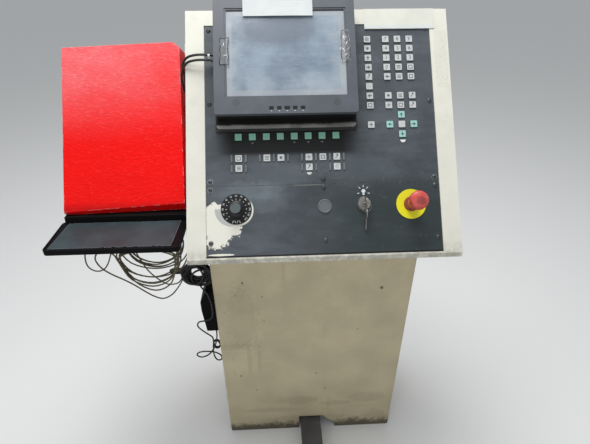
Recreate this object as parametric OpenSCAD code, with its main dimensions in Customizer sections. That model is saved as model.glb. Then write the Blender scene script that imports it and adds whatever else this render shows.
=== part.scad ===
// Control console of a factory machine: a sheet steel pedestal carries a sloping desk with a
// two-part control panel, a flat monitor, and a hooded side terminal on a tray at the left.
// Origin: middle of the pedestal's footprint on the floor. Front faces -Y, up is +Z.

/* [Pedestal] */
// Width of the pedestal casing
ped_w = 500; // [440:1:540]
// Depth of the pedestal casing
ped_d = 270; // [240:1:320]
// Height of the pedestal casing
ped_h = 751; // [700:1:850]
// Thickness of the pedestal's sheet
ped_sheet = 2.5; // [2:0.5:4]
// Outside radius of the casing's folded corners
ped_corner_r = 6; // [5:0.5:12]
// Width of the folded foot flanges
flange_w = 40; // [34:1:50]
// Diameter of the floor anchor holes
anchor_hole_d = 14; // [9:0.5:18]
// Distance between the anchor holes, front to back
anchor_pitch_y = 190; // [170:1:200]

/* [Foot beam] */
// Width of the foot beam
beam_w = 60; // [50:1:66]
// Height of the foot beam
beam_h = 50; // [40:1:52]
// Wall of the foot beam
beam_wall = 4; // [3:0.5:6]
// How far the foot beam stands out in front of the casing
beam_reach = 175; // [120:1:240]

/* [Service door] */
// Width of the door opening in the back wall
door_open_w = 400; // [340:1:400]
// Height of the door opening
door_open_h = 560; // [480:1:570]
// Lower edge of the door opening above the floor
door_open_z = 110; // [100:1:120]
// How far the door laps over the opening on each side
door_lap = 10; // [8:1:12]
// Depth of the door's folded rim
door_rim = 14; // [12:1:16]
// Diameter of the hinge pins
hinge_pin_d = 6; // [5:0.5:8]

/* [Desk] */
// Width of the desk
desk_w = 562; // [545:1:600]
// Depth of the desk, from the panel's lower edge to the back
desk_d = 400; // [385:1:440]
// Slope of the control panel above the horizontal
slope = 52.5; // [50:0.5:54]
// Height of the front lip under the panel
lip_h = 13; // [10:0.5:18]
// Thickness of the desk's sheet
desk_sheet = 2; // [1.5:0.5:3]
// How far the pedestal stands back from the panel's lower edge
ped_setback = 117; // [100:1:125]
// How far the desk's middle lies to the right of the pedestal's middle
desk_shift = 12; // [0:1:16]

/* [Panel] */
// Width of both panel plates
panel_w = 482.6; // [482:0.1:484]
// Height of the lower plate, up the slope
lower_v = 145; // [143:1:147]
// Height of both plates together
panel_v = 491; // [489:1:493]
// Thickness of the panel plates
panel_t = 2; // [1.5:0.5:3]
// Gap between the two plates
panel_gap = 0.8; // [0.4:0.1:1.2]
// Diameter of the panel screws' heads
screw_head_d = 9; // [7:0.5:10]

/* [Keys] */
// Side of a key cap
key_side = 14; // [12:0.5:15]
// Clear space around a key in its window
key_clear = 0.4; // [0.3:0.1:0.6]
// Height of the key caps above the panel
key_rise = 2.4; // [1.5:0.1:3]
// Distance between key rows
row_pitch = 20.9; // [20:0.1:21]
// Distance between the columns of the number block
col_pitch = 25.5; // [22:0.5:25.5]
// Distance between the soft keys
soft_pitch = 29; // [27:0.5:29]

/* [Monitor] */
// Width of the monitor
mon_w = 288; // [284:1:292]
// Height of the monitor
mon_v = 250; // [246:1:254]
// Height of the monitor's front above the panel
mon_front = 46; // [40:1:50]
// Width of the visible glass
glass_w = 241; // [200:1:246]
// Height of the visible glass
glass_v = 181; // [150:1:184]
// Travel of the monitor's buttons
button_travel = 1; // [0.5:0.1:1.2]

/* [Controls] */
// Diameter of the holes for the round controls
control_hole_d = 22.4; // [22.2:0.1:23]
// Diameter of the override dial
dial_d = 63; // [50:1:66]
// Diameter of the override knob's skirt
knob_d = 35; // [32:1:38]
// Diameter of the override switch's spindle
spindle_d = 6; // [5:0.5:6.5]
// Diameter of the lock barrel
barrel_d = 16; // [14:0.5:17]
// Diameter of the yellow plate of the stop button
stop_plate_d = 62; // [50:1:66]
// Diameter of the stop button's mushroom head
mushroom_d = 38; // [36:1:44]
// Travel of the stop button
stop_travel = 5; // [3:0.5:6]
// Diameter of the stop button's plunger
plunger_d = 14; // [12:0.5:16]
// Clear space on the radius between turning or sliding round parts
run_clear = 0.05; // [0.02:0.01:0.09]

/* [Side unit] */
// Width of the tray
tray_w = 265; // [262:1:275]
// Depth of the tray
tray_d = 108; // [100:1:112]
// Thickness of the tray
tray_t = 12; // [10:1:14]
// Gap between the tray and the desk's side
tray_gap = 11; // [10:1:14]
// Slope of the side terminal above the horizontal
term_slope = 57.4; // [56:0.1:58]
// Thickness of the side terminal
term_t = 46; // [40:1:48]
// Thickness of the red hood's skin
hood_skin = 3; // [2:0.5:4]
// Depth of the red hood
hood_d = 55; // [48:1:58]

/* [Cords] */
// Diameter of the monitor's cables
mon_cable_d = 5; // [4:0.5:5.5]
// Diameter of the terminal's cables
olive_d = 3.2; // [2.5:0.1:4]
// Diameter of the power adapter's lead
lead_d = 4; // [3.5:0.5:4]
// Diameter of the bundle of turns in the black coil
coil_bundle_d = 23; // [18:1:23]

/* [Hidden] */
$fn = 48;

// Finishes
cream = "#e9e7dc";
khaki = "#a59c82";
charcoal = "#454c55";
black = "#17181a";
steel = "#b5b8bb";
dark_steel = "#4b4d4e";
olive = "#6b6650";

// Small amount that lets a cut run past a face
eps = 1;
// Play around a bolt in its hole
bolt_play = 0.5;

// The desk's frame: its origin is the middle of the panel's lower edge
desk_x = desk_shift;
desk_y = -ped_d / 2 - ped_setback;
desk_z = ped_h + lip_h;
desk_left = -desk_w / 2;
// How far the cream frame stands above the panel's face
frame_lift = 1.5;
// Width of the frame's strip under and above the plates
frame_foot = 4;
frame_top = 34;
// Drop of the desk's roof towards the back
roof_drop = 30;

// Screw places on the panel, from the middle line and the lower edge
screw_u = panel_w / 2 - 8.8;
screw_low = 29;
screw_rows = [screw_low, lower_v - 7, lower_v + 10, panel_v - 171, panel_v - 10];
middle_rows = [screw_low, lower_v - 7, lower_v + 10];
screw_shank_d = 4.8;

// Key places on the panel
top_row_v = panel_v - 34;
left_col_u = panel_w / 2 - 136.3;
number_col_u = left_col_u + 39.5;
soft_u = -panel_w / 2 + 67.8;
function_v = lower_v + 57.5;
soft_v = function_v + 45;
number_keys = [for (j = [0, 1, 2, 3, 4, 6, 7]) for (i = [0:2]) [number_col_u + col_pitch * i, row_v(j)]];
left_keys = [for (j = [0, 1, 2, 3, 4, 5, 6, 7, 9]) [left_col_u, row_v(j)]];
cursor_keys = [[number_col_u + col_pitch, row_v(8)], [number_col_u, row_v(9)],
    [number_col_u + col_pitch, row_v(9)], [number_col_u + 2 * col_pitch, row_v(9)],
    [number_col_u + col_pitch, row_v(10)]];
main_keys = concat(number_keys, left_keys, cursor_keys);
soft_keys = [for (i = [0:7]) [soft_u + soft_pitch * i, soft_v]];
function_upper = [0, 2, 3, 5, 6, 7];
function_lower = [0, 5, 7];
function_keys = concat([for (i = function_upper) [soft_u + soft_pitch * i, function_v]],
    [for (i = function_lower) [soft_u + soft_pitch * i, function_v - row_pitch]]);
mat_t = 1.5;
mat_margin = 9;
key_r = 1.2;

// Places of the round controls on the lower plate
controls_v = lower_v - 46;
dial_u = -panel_w / 2 + 60.8;
dial_v = controls_v - 1.5;
plug_u = 1;
lock_u = panel_w / 2 - 159.3;
lock_v = controls_v + 3;
stop_u = panel_w / 2 - 61.3;
head_h = 14;
spigot_d = 10;
spigot_h = 29;

// The monitor's place on the panel
mon_u = soft_u + 101;
mon_mid_v = soft_v + 158.5;
mon_r = 6;
mon_wall = 3;
bezel_t = 12;
glass_u = mon_u + 2.2;
glass_mid_v = mon_mid_v + 2.6;
glass_lip = 2.5;
glass_t = 3.5;
bracket_t = 2;
gasket_t = 4;
chassis_w = 220;
chassis_v = 140;
chassis_mid_v = mon_mid_v - 11;
chassis_depth = 40;
bracket_low = soft_v + 16.5;
bracket_top = mon_mid_v + 114;
gasket_low = bracket_low - 6;
gasket_top = mon_mid_v + 82;
button_u = [for (u = [-30.5, -14.7, 1, 16.7, 32.3]) mon_u + u];
button_v = mon_mid_v - 113;
button_w = [8.6, 8.6, 11, 8.6, 8.6];
button_tall = 5;
button_foot = 2.2;

// Door, hinges and lock
door_w = door_open_w + 2 * door_lap;
door_h = door_open_h + 2 * door_lap;
door_sheet = 2;
door_gap = 0.5;
door_y = ped_d / 2 + door_gap;
door_face_y = door_y + door_rim;
hinge_off = 8;
hinge_x = -door_w / 2 - hinge_off;
hinge_y = ped_d / 2 + hinge_off;
hinge_zs = [door_open_z + 90, door_open_z + door_open_h - 90];
knuckle_h = 40;
lug_h = 6;
lug_gap = 0.5;
knuckle_d = hinge_pin_d + 6;
door_lock_x = door_open_w / 2 - 16;
door_lock_z = door_open_z + door_open_h / 2;
door_lock_d = 18;

// Side unit, in the desk's frame
tray_x = desk_left - tray_gap - tray_w;
tray_y = -4;
tray_z = 32;
tray_rim = 3;
tray_sink = 2.5;
shelf_t = 3;
shelf_back_y = 200;
shelf_notch_y = 112;
hood_off = 271;
hood_x = desk_left - hood_off;
hood_y = 112;
hood_z = 58;
base_top_z = 44.5;
base_front_y = 100;
term_front_h = -24;
term_v = 338;
term_left = hood_x + 14;
term_right = hood_x + 240;
hood_face = [[0, -7], [256, 7], [253, 345], [238, 357], [2, 347]];
hood_rim = [[-2, -32], [258, -32], [256, 352], [244, 362], [0, 352]];
strap_v = term_v - 16;
strap_w = 22;
strap_t = 3;
strap_arm = 11;

// Power adapter and coil on the pedestal's left side, in the desk's frame
ped_left = -desk_shift - ped_w / 2;
adapter_y = [122, 180];
adapter_z = [-327, -197];
adapter_t = 36;
coil_at = [ped_left - 37.5, 150, -152];
coil_r = 25;

// Cable routes, in the desk's frame
gland_ys = [215, 240];
gland_z = -85;
gland_h = 14;
mon_route_a = [[-215, 237, 342], [-236, 237, 344], [-258, 239, 343], [-276, 243, 337],
    [-287, 247, 322], [-286, 247, 298], [-287, 240, 240], [-288, 230, 170], [-289, 222, 100],
    [-289, 214, 30], [-292, 196, -40], [-298, 168, -95], [-300, 151, -117]];
mon_route_b = [[-215, 231, 333], [-236, 231, 335], [-258, 233, 334], [-276, 237, 328],
    [-287, 239, 314], [-292, 243, 296], [-292, 252, 274], [-289, 263, 248], [-289, 272, 222],
    [-296, 274, 200], [-312, 271, 188]];

// Turns of a loose ring: t counts the turns, wide and deep give each turn's reach
function between(list, t) = let (i = floor(t)) list[i] + (t - i) * (list[i + 1] - list[i]);
function loose_turns(mid, wide, deep, up, pitch, turns) = [for (i = [0:8 * turns])
    let (t = i / 8, a = -360 * t)
    mid + [between(wide, t) * cos(a), pitch * t, (sin(a) > 0 ? up : between(deep, t)) * sin(a)]];
olive_turns = 5.5;
olive_up = 26;
olive_route_a = concat([[-312, 211, 97], [-297, 208, 93], [-289, 188, 86], [-288, 160, 79], [-287, 120, 56],
    [-287, 94, 22], [-288, 84, 0]],
    loose_turns([-372, 76, -22], [82, 62, 55, 66, 58, 64, 62], [58, 60, 50, 66, 54, 60, 58], olive_up,
        4.6, olive_turns),
    [[-438, 102, -2], [-454, 99, 10], [-476, 96, 12], [-499, 93, 4], [-517, 91, -22], [-528, 90, -55],
    [-527, 90, -80], [-514, 91, -93], [-497, 92, -91], [-484, 94, -76], [-474, 96, -54], [-464, 100, -30],
    [-450, 105, -16], [-436, 109, -24], [-424, 110, -52], [-414, 109, -82], [-403, 109, -111],
    [-386, 111, -137], [-368, 118, -160], [-350, 134, -172], [-342, 151, -173], [-337, 167, -166],
    [-327, 186, -145], [-312, 204, -116], [-296, 213, -95], [-284, 215, -87], [-276, 215, -85]]);
olive_route_b = concat([[-312, 224, 117], [-297, 224, 114], [-289, 206, 107], [-289, 165, 93],
    [-289, 135, 77], [-289, 100, 50], [-289, 72, 24], [-289, 58, 0]],
    loose_turns([-370, 52, -24], [81, 60, 66, 54, 63, 58, 60], [62, 54, 62, 96, 58, 70, 60], olive_up,
        -4.4, olive_turns),
    [[-435, 27, -4], [-449, 25, 8], [-465, 24, 4], [-473, 24, -13], [-466, 25, -35], [-450, 28, -55],
    [-431, 34, -75], [-415, 41, -96], [-401, 51, -122], [-387, 67, -153], [-374, 87, -178],
    [-360, 112, -188], [-349, 140, -187], [-341, 165, -181], [-334, 188, -168], [-321, 209, -146],
    [-305, 227, -118], [-290, 238, -95], [-276, 240, -85]]);
// The adapter's lead is knotted round itself in a small double ring
knot_turns = 2;
lead_route = concat([[-273, 150, -351], [-273, 150, -370], [-277, 148, -395], [-286, 145, -420],
    [-302, 142, -440], [-322, 141, -448], [-334, 141, -439], [-326, 141, -428],
    [-304, 143, -428], [-282, 147, -438], [-269, 151, -456], [-271, 154, -476],
    [-284, 156, -477], [-291, 158, -455]],
    [for (i = [0:8 * knot_turns]) let (t = i / 8, a = 180 - 360 * t)
        [-280 + 9.5 * cos(a), 161 + 5 * t, -424 + 16 * sin(a)]],
    [[-291, 172, -404], [-300, 162, -380], [-311, 148, -350], [-317, 134, -320], [-309, 122, -294],
    [-290, 115, -283], [-272, 113, -270], [-269, 115, -235], [-276, 117, -198],
    [-290, 128, -184], [-299, 139, -177]]);

// The key that hangs from the lock's key
ring_r = 10;
ring_wire_d = 1.6;
bow_hole_h = 27;
bow_hole_d = 5.5;
bow_hole_y = 5.4;
bow_d = 22;
blade_w = 8;
spare_blade = 22;
rest_gap = 0.4;
ring_drop = ring_r + 0.6;
spare_y = -ring_drop - ring_r - bow_hole_y + bow_hole_d / 2 - ring_wire_d / 2 + 0.03;
spare_tip = [bow_d / 2 + spare_blade - spare_y, blade_w / 2];
// The spare key leans on the panel with its tip
hang_tilt = asin((bow_hole_h - rest_gap) / norm(spare_tip)) - atan(spare_tip[1] / spare_tip[0]);

function row_v(j) = top_row_v - row_pitch * j;
function unit(v) = v / norm(v);
function cross2(a, b) = a[0] * b[1] - a[1] * b[0];
function slope_point(v, h) = [v * cos(slope) - h * sin(slope), v * sin(slope) + h * cos(slope)];
function hood_point(v, h) = [hood_y + v * cos(term_slope) - h * sin(term_slope),
    hood_z + v * sin(term_slope) + h * cos(term_slope)];

// Outline moved inwards by t, for a convex outline that runs anticlockwise
function inner_corner(a, b, c, t) =
    let (d = unit(b - a), e = unit(c - b),
        p = b + t * [-d[1], d[0]], q = b + t * [-e[1], e[0]])
    p + d * cross2(q - p, e) / cross2(d, e);
function inset(o, t) = [for (i = [0:len(o) - 1])
    inner_corner(o[(i + len(o) - 1) % len(o)], o[i], o[(i + 1) % len(o)], t)];

// Smooth line through the route's points, with k steps in each stretch
function spline(a, b, c, d, s) = 0.5 * (2 * b + (c - a) * s + (2 * a - 5 * b + 4 * c - d) * s * s
    + (3 * b - a - 3 * c + d) * s * s * s);
function smooth(r, k) = concat([for (i = [0:len(r) - 2]) for (j = [0:k - 1])
    spline(r[max(i - 1, 0)], r[i], r[i + 1], r[min(i + 2, len(r) - 1)], j / k)], [r[len(r) - 1]]);
function heading(r, i) = unit(r[min(i + 1, len(r) - 1)] - r[max(i - 1, 0)]);
function square_to(n, t) = unit(n - t * (n * t));
function sideways(r) = [for (i = 0, n = square_to([0.3, 0.2, 0.9], heading(r, 0)); i < len(r);
    n = square_to(n, heading(r, i + 1)), i = i + 1) n];

// Round tube along a line of ring centres
module tube(line, d) {
    sides = 8;
    across = sideways(line);
    count = len(line);
    rings = [for (i = [0:count - 1]) for (k = [0:sides - 1])
        let (t = heading(line, i), n = across[i], m = cross(t, n))
        line[i] + d / 2 * (n * cos(360 * k / sides) + m * sin(360 * k / sides))];
    walls = [for (i = [0:count - 2]) for (k = [0:sides - 1])
        let (a = i * sides + k, b = i * sides + (k + 1) % sides)
        each [[b + sides, b, a], [a + sides, b + sides, a]]];
    ends = [[for (k = [0:sides - 1]) k], [for (k = [0:sides - 1]) count * sides - 1 - k]];
    polyhedron(rings, concat(walls, ends));
}

module at_desk() translate([desk_x, desk_y, desk_z]) children();
module on_slope(u = 0, v = 0, h = 0) at_desk() rotate([slope, 0, 0]) translate([u, v, h]) children();
module on_hood(u = 0, v = 0, h = 0)
    at_desk() translate([hood_x, hood_y, hood_z]) rotate([term_slope, 0, 0]) translate([u, v, h]) children();

// Extrudes an outline drawn in Y and Z along X, from x0 to x1
module along_x(x0, x1) translate([x0, 0, 0]) rotate([90, 0, 90]) linear_extrude(x1 - x0) children();

module rounded(w, d, r) {
    square([w - 2 * r, d], center = true);
    square([w, d - 2 * r], center = true);
    for (x = [-1, 1]) for (y = [-1, 1]) translate([x * (w / 2 - r), y * (d / 2 - r)]) circle(r);
}

// Plate on the slope between two heights above the panel, centred on u and v
module slab(u, v, h0, h1) on_slope(u, v, h0) linear_extrude(h1 - h0) children();
module post(u, v, h0, h1, d) on_slope(u, v, h0) cylinder(d = d, h = h1 - h0);

// Pedestal

module hinge_lugs(z) {
    for (s = [-1, 1]) translate([hinge_x, 0, z + s * (knuckle_h / 2 + lug_gap + lug_h / 2)]) {
        translate([0, hinge_y, 0]) cylinder(d = knuckle_d, h = lug_h, center = true);
        translate([-knuckle_d / 2, ped_d / 2 - ped_sheet / 2, -lug_h / 2])
            cube([knuckle_d, hinge_off + ped_sheet / 2, lug_h]);
    }
}

module pedestal_shell() color(khaki) difference() {
    union() {
        difference() {
            linear_extrude(ped_h) rounded(ped_w, ped_d, ped_corner_r);
            translate([0, 0, -eps]) linear_extrude(ped_h - ped_sheet + eps)
                rounded(ped_w - 2 * ped_sheet, ped_d - 2 * ped_sheet, ped_corner_r - ped_sheet);
        }
        for (s = [-1, 1]) translate([s * (ped_w / 2 - ped_sheet / 2 - flange_w / 2), 0, ped_sheet / 2])
            cube([flange_w, ped_d - 2 * ped_corner_r, ped_sheet], center = true);
        for (z = hinge_zs) hinge_lugs(z);
    }
    translate([-door_open_w / 2, ped_d / 2 - ped_sheet - eps, door_open_z])
        cube([door_open_w, ped_sheet + 2 * eps, door_open_h]);
    // The notch for the foot beam, its right side bent away
    translate([0, -ped_d / 2 + ped_sheet + eps, 0]) rotate([90, 0, 0]) linear_extrude(ped_sheet + 2 * eps)
        polygon([[-beam_w / 2 - 6, -eps], [-beam_w / 2 - 6, beam_h + 8], [beam_w / 2 + 7, beam_h + 8],
            [beam_w / 2 + 20, beam_h - 6], [beam_w / 2 + 44, beam_h * 0.44], [beam_w / 2 + 48, -eps]]);
    for (x = [-1, 1]) for (y = [-1, 1])
        translate([x * anchor_x(), y * anchor_pitch_y / 2, -eps])
            cylinder(d = anchor_hole_d, h = ped_sheet + 2 * eps);
    for (z = hinge_zs) translate([hinge_x, hinge_y, z])
        cylinder(d = hinge_pin_d + 0.04, h = pin_len(), center = true);
    desk_port();
    desk_bolt_places() cylinder(d = desk_bolt_d + 2 * bolt_play, h = 4 * ped_sheet, center = true);
    gland_places() cylinder(d = gland_d + 0.4, h = 4 * ped_sheet, center = true);
}
function anchor_x() = ped_w / 2 - ped_sheet - flange_w / 2 + 2;
function pin_len() = knuckle_h + 2 * (lug_gap + lug_h) + eps;

// Bolts and the square cable port between the pedestal's roof and the desk's floor
desk_bolt_d = 8;
desk_port_w = 90;
module desk_port() translate([0, 0, ped_h])
    cube([desk_port_w, desk_port_w, 4 * ped_sheet], center = true);
module desk_bolt_places() for (x = [-1, 1]) for (y = [-1, 1])
    translate([x * (ped_w / 2 - 50), y * (ped_d / 2 - 50), ped_h]) children();

module foot_beam() color(dark_steel) translate([0, ped_d / 2 - 10, beam_h / 2]) rotate([90, 0, 0])
    linear_extrude(beam_len()) difference() {
        rounded(beam_w, beam_h, beam_wall + 2);
        rounded(beam_w - 2 * beam_wall, beam_h - 2 * beam_wall, 2);
    }
function beam_len() = ped_d - 10 + beam_reach;

module foot_end_cap() color(black)
    translate([0, -ped_d / 2 - beam_reach, beam_h / 2]) rotate([90, 0, 0]) {
    linear_extrude(3) rounded(beam_w, beam_h, beam_wall + 2);
    translate([0, 0, -14]) linear_extrude(14)
        rounded(beam_w - 2 * beam_wall - 0.2, beam_h - 2 * beam_wall - 0.2, 1.9);
}

// Folded strap over the beam that rests on both foot flanges
module beam_bridge() {
    t = 4;
    reach = ped_w / 2 - ped_sheet - 3;
    inner = beam_w / 2 + 1;
    half = [[inner + t, beam_h + t], [inner + t, ped_sheet + t], [reach, ped_sheet + t], [reach, ped_sheet],
        [inner, ped_sheet], [inner, beam_h]];
    color(steel) translate([0, 55, 0]) rotate([90, 0, 0]) linear_extrude(110)
        polygon(concat(half, [for (i = [5:-1:0]) [-half[i][0], half[i][1]]]));
}

module service_door() color(khaki) {
    difference() {
        translate([-door_w / 2, door_y, door_open_z - door_lap]) cube([door_w, door_rim, door_h]);
        translate([-door_w / 2 + door_sheet, door_y - eps, door_open_z - door_lap + door_sheet])
            cube([door_w - 2 * door_sheet, door_rim - door_sheet + eps, door_h - 2 * door_sheet]);
        translate([door_lock_x, door_face_y + eps, door_lock_z]) rotate([90, 0, 0])
            cylinder(d = door_lock_d + 2 * run_clear, h = door_sheet + 2 * eps);
        // Ventilation slots low in the door
        for (i = [0:5]) translate([0, door_face_y, door_open_z + 40 + 14 * i]) rotate([90, 0, 0])
            linear_extrude(3 * door_sheet, center = true) rounded(160, 5, 2.4);
    }
    for (z = hinge_zs) translate([hinge_x, hinge_y, z]) difference() {
        union() {
            cylinder(d = knuckle_d, h = knuckle_h, center = true);
            translate([0, -2, -knuckle_h / 2]) cube([hinge_off + door_sheet / 2, 4, knuckle_h]);
        }
        cylinder(d = hinge_pin_d + 2 * run_clear, h = knuckle_h + 2 * eps, center = true);
    }
}

module hinge_pins() color(steel) for (z = hinge_zs) translate([hinge_x, hinge_y, z])
    cylinder(d = hinge_pin_d, h = pin_len(), center = true);

// Quarter-turn lock, drawn unlocked with its tongue hanging down
module door_lock() color(steel) translate([door_lock_x, door_face_y, door_lock_z]) {
    cam_y = -door_rim - door_gap - ped_sheet - 1;
    rotate([-90, 0, 0]) difference() {
        union() {
            translate([0, 0, 0.1]) cylinder(d = door_lock_d + 6, h = 2.4);
            translate([0, 0, cam_y - 3]) cylinder(d = door_lock_d, h = 3 - cam_y + 0.2);
        }
        translate([0, 0, -6]) cylinder(d = 8, h = 12, $fn = 3);
    }
    translate([-7, cam_y - 2.8, -40]) cube([14, 2.5, 46]);
}

plate_w = 400;
plate_h = 500;
plate_z = 150;
plate_t = 2;
plate_gap = 24;
plate_y = -ped_d / 2 + ped_sheet + plate_gap;
module mounting_plate() color(steel) {
    translate([-plate_w / 2, plate_y, plate_z]) cube([plate_w, plate_t, plate_h]);
    for (x = [-1, 1]) for (z = [plate_z + 30, plate_z + plate_h - 30])
        translate([x * (plate_w / 2 - 20), plate_y + 0.5, z]) rotate([90, 0, 0])
            cylinder(d = 12, h = plate_gap + 0.5);
}

supply_w = 140;
supply_d = 62;
supply_h = 190;
module power_supply() color(dark_steel)
    translate([-supply_w / 2, plate_y + plate_t, plate_z + plate_h / 2 - 70]) difference() {
        cube([supply_w, supply_d, supply_h]);
        for (i = [0:12]) translate([supply_w / 2 + 9 * (i - 6) - 2, supply_d - 16, 12])
            cube([4, 20, supply_h - 24]);
    }

// Desk

desk_profile = [slope_point(-frame_foot, frame_lift), [slope_point(-frame_foot, frame_lift)[0], -lip_h],
    [desk_d, -lip_h], [desk_d, slope_point(panel_v + frame_top, frame_lift)[1] - roof_drop],
    slope_point(panel_v + frame_top, frame_lift)];
seat_t = 2;
seat_w = 20;
seat_play = 0.7;
seat_low = 42;
seat_bar = [lower_v - 17, lower_v + 25];
window_w = panel_w - 2 * seat_w;
window_top = panel_v - 21;
rear_win_w = 480;
rear_win_z = [40, 340];
rear_cover_t = 1.5;

module screw_places() {
    for (s = [-1, 1]) for (v = screw_rows) on_slope(s * screw_u, v, 0) children();
    for (v = middle_rows) on_slope(0, v, 0) children();
}

module desk_shell() color(cream) difference() {
    union() {
        difference() {
            at_desk() along_x(-desk_w / 2, desk_w / 2) polygon(desk_profile);
            at_desk() along_x(-desk_w / 2 + desk_sheet, desk_w / 2 - desk_sheet)
                polygon(inset(desk_profile, desk_sheet));
            slab(0, panel_v / 2, -desk_sheet - eps, frame_lift + eps)
                square([panel_w + 2 * seat_play, panel_v + 2 * seat_play], center = true);
            at_desk() translate([-rear_win_w / 2, desk_d - desk_sheet - eps, rear_win_z[0]])
                cube([rear_win_w, desk_sheet + 2 * eps, rear_win_z[1] - rear_win_z[0]]);
        }
        // Joggled seat for the two plates
        difference() {
            slab(0, panel_v / 2, -panel_t - seat_t, frame_lift - 0.01)
                square([panel_w + 2 * seat_play + 3, panel_v + 2 * seat_play + 3], center = true);
            slab(0, panel_v / 2, -panel_t, frame_lift + eps)
                square([panel_w + 2 * seat_play, panel_v + 2 * seat_play], center = true);
            slab(0, 0, -panel_t - seat_t - eps, 0) {
                translate([-window_w / 2, seat_low]) square([window_w, seat_bar[0] - seat_low]);
                translate([-window_w / 2, seat_bar[1]]) square([window_w, window_top - seat_bar[1]]);
            }
        }
    }
    screw_places() cylinder(d = screw_shank_d + 0.2, h = 4 * seat_t + 2 * panel_t, center = true);
    desk_port();
    desk_bolt_places() cylinder(d = desk_bolt_d + 2 * bolt_play, h = 4 * ped_sheet, center = true);
    cover_screw_places() rotate([90, 0, 0]) cylinder(d = 4.2, h = 20, center = true);
}

module desk_bolts() color(steel) desk_bolt_places() {
    translate([0, 0, desk_sheet]) cylinder(d = 15, h = 5.5, $fn = 6);
    translate([0, 0, -ped_sheet - 14]) cylinder(d = desk_bolt_d, h = desk_sheet + ped_sheet + 15);
    translate([0, 0, -ped_sheet - 6.5]) cylinder(d = 15, h = 6.5, $fn = 6);
}

cover_lap = 15;
module cover_screw_places() for (x = [-1, 0, 1]) for (z = [rear_win_z[0] - 7, rear_win_z[1] + 7])
    at_desk() translate([x * (rear_win_w / 2 - 20), desk_d, z]) children();

module desk_rear_cover() color(cream) difference() {
    at_desk() translate([-rear_win_w / 2 - cover_lap, desk_d, rear_win_z[0] - cover_lap])
        cube([rear_win_w + 2 * cover_lap, rear_cover_t, rear_win_z[1] - rear_win_z[0] + 2 * cover_lap]);
    cover_screw_places() rotate([90, 0, 0]) cylinder(d = 4.6, h = 20, center = true);
    // Ventilation slots in two groups
    for (g = [-110, 110]) for (i = [0:9]) at_desk() translate([g, desk_d, 140 + 13 * i])
        rotate([90, 0, 0]) linear_extrude(8, center = true) rounded(130, 4.5, 2.2);
}

module cover_screws() color(steel) cover_screw_places() rotate([-90, 0, 0]) {
    translate([0, 0, rear_cover_t]) cylinder(d1 = 8, d2 = 6, h = 2.4);
    translate([0, 0, -8]) cylinder(d = 4, h = 10);
}

// Panel plates

module key_windows(places) for (p = places) translate(p)
    rounded(key_side + 2 * key_clear, key_side + 2 * key_clear, key_r);

module upper_panel() color(charcoal) difference() {
    slab(0, 0, -panel_t, 0) difference() {
        translate([-panel_w / 2, lower_v + panel_gap]) square([panel_w, panel_v - lower_v - panel_gap]);
        key_windows(main_keys);
        key_windows(soft_keys);
        key_windows(function_keys);
        translate([mon_u, chassis_mid_v]) square([chassis_w + 2, chassis_v + 2], center = true);
    }
    screw_places() cylinder(d = screw_shank_d + 2 * bolt_play, h = 3 * panel_t, center = true);
}

module lower_panel() color(charcoal) difference() {
    slab(0, 0, -panel_t, 0) translate([-panel_w / 2, 0]) square([panel_w, lower_v]);
    screw_places() cylinder(d = screw_shank_d + 2 * bolt_play, h = 3 * panel_t, center = true);
    post(dial_u, dial_v, -panel_t - eps, eps, 10.4);
    post(plug_u, controls_v, -panel_t - eps, eps, control_hole_d);
    post(lock_u, lock_v, -panel_t - eps, eps, control_hole_d);
    post(stop_u, controls_v, -panel_t - eps, eps, control_hole_d);
}

module panel_screws() color(dark_steel) screw_places() {
    difference() {
        rotate_extrude() polygon([[0, 0], [screw_head_d / 2, 0], [screw_head_d / 2, 1],
            [screw_head_d / 2 - 1.2, 2.2], [screw_head_d / 4, 2.8], [0, 3]]);
        translate([0, 0, 1.2]) cylinder(d = 3.4, h = 3, $fn = 6);
    }
    translate([0, 0, -panel_t - seat_t - 3]) cylinder(d = screw_shank_d, h = panel_t + seat_t + 3.2);
}

// Key mats: one moulding each, the keys standing on a thin web behind the plate
module keymat(places, u0, u1, v0, v1) {
    slab(0, 0, -panel_t - mat_t, -panel_t) translate([u0, v0]) square([u1 - u0, v1 - v0]);
    for (p = places) slab(p[0], p[1], -panel_t - 0.2, key_rise) rounded(key_side, key_side, key_r);
}
mat_right = number_col_u + 2 * col_pitch + key_side / 2 + 4;
module keymat_main() color("#c9ccc9")
    keymat(main_keys, left_col_u - mat_margin, mat_right, row_v(10) - mat_margin, top_row_v + mat_margin);
module keymat_softkeys() color("#8fc9ae")
    keymat(soft_keys, soft_u - mat_margin, soft_u + 7 * soft_pitch + mat_margin,
        soft_v - mat_margin, soft_v + mat_margin);
module keymat_function() color("#d8dad8")
    keymat(function_keys, soft_u - mat_margin, soft_u + 7 * soft_pitch + mat_margin,
        function_v - row_pitch - mat_margin, function_v + mat_margin);

// Low ribs between the function keys
function rib_places(cols, v) = [for (i = cols) for (s = [0, 1])
    if (s == 0 || len(search(i + 1, cols)) == 0) [soft_u + soft_pitch * (i - 0.5 + s), v]];
module key_guards() color(charcoal)
    for (p = concat(rib_places(function_upper, function_v),
            rib_places(function_lower, function_v - row_pitch)))
        slab(p[0], p[1], 0, 2.5) rounded(3.6, 15, 1.2);

module keypad_board() color("#2c6b45") {
    back = -panel_t - mat_t;
    low = function_v - row_pitch - mat_margin + 0.4;
    slab(0, 0, back - 1.6, back) polygon([[soft_u - 12, low], [mat_right + 3, low],
        [mat_right + 3, top_row_v + 10], [left_col_u - 11, top_row_v + 10], [left_col_u - 11, soft_v + 12],
        [soft_u - 12, soft_v + 12]]);
    for (p = [[left_col_u - 22, 180], [left_col_u - 22, soft_v], [mat_right - 60, 200], [mat_right - 6, 186]])
        post(p[0], p[1], back - 0.1, -panel_t, 6);
}

// Monitor

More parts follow.
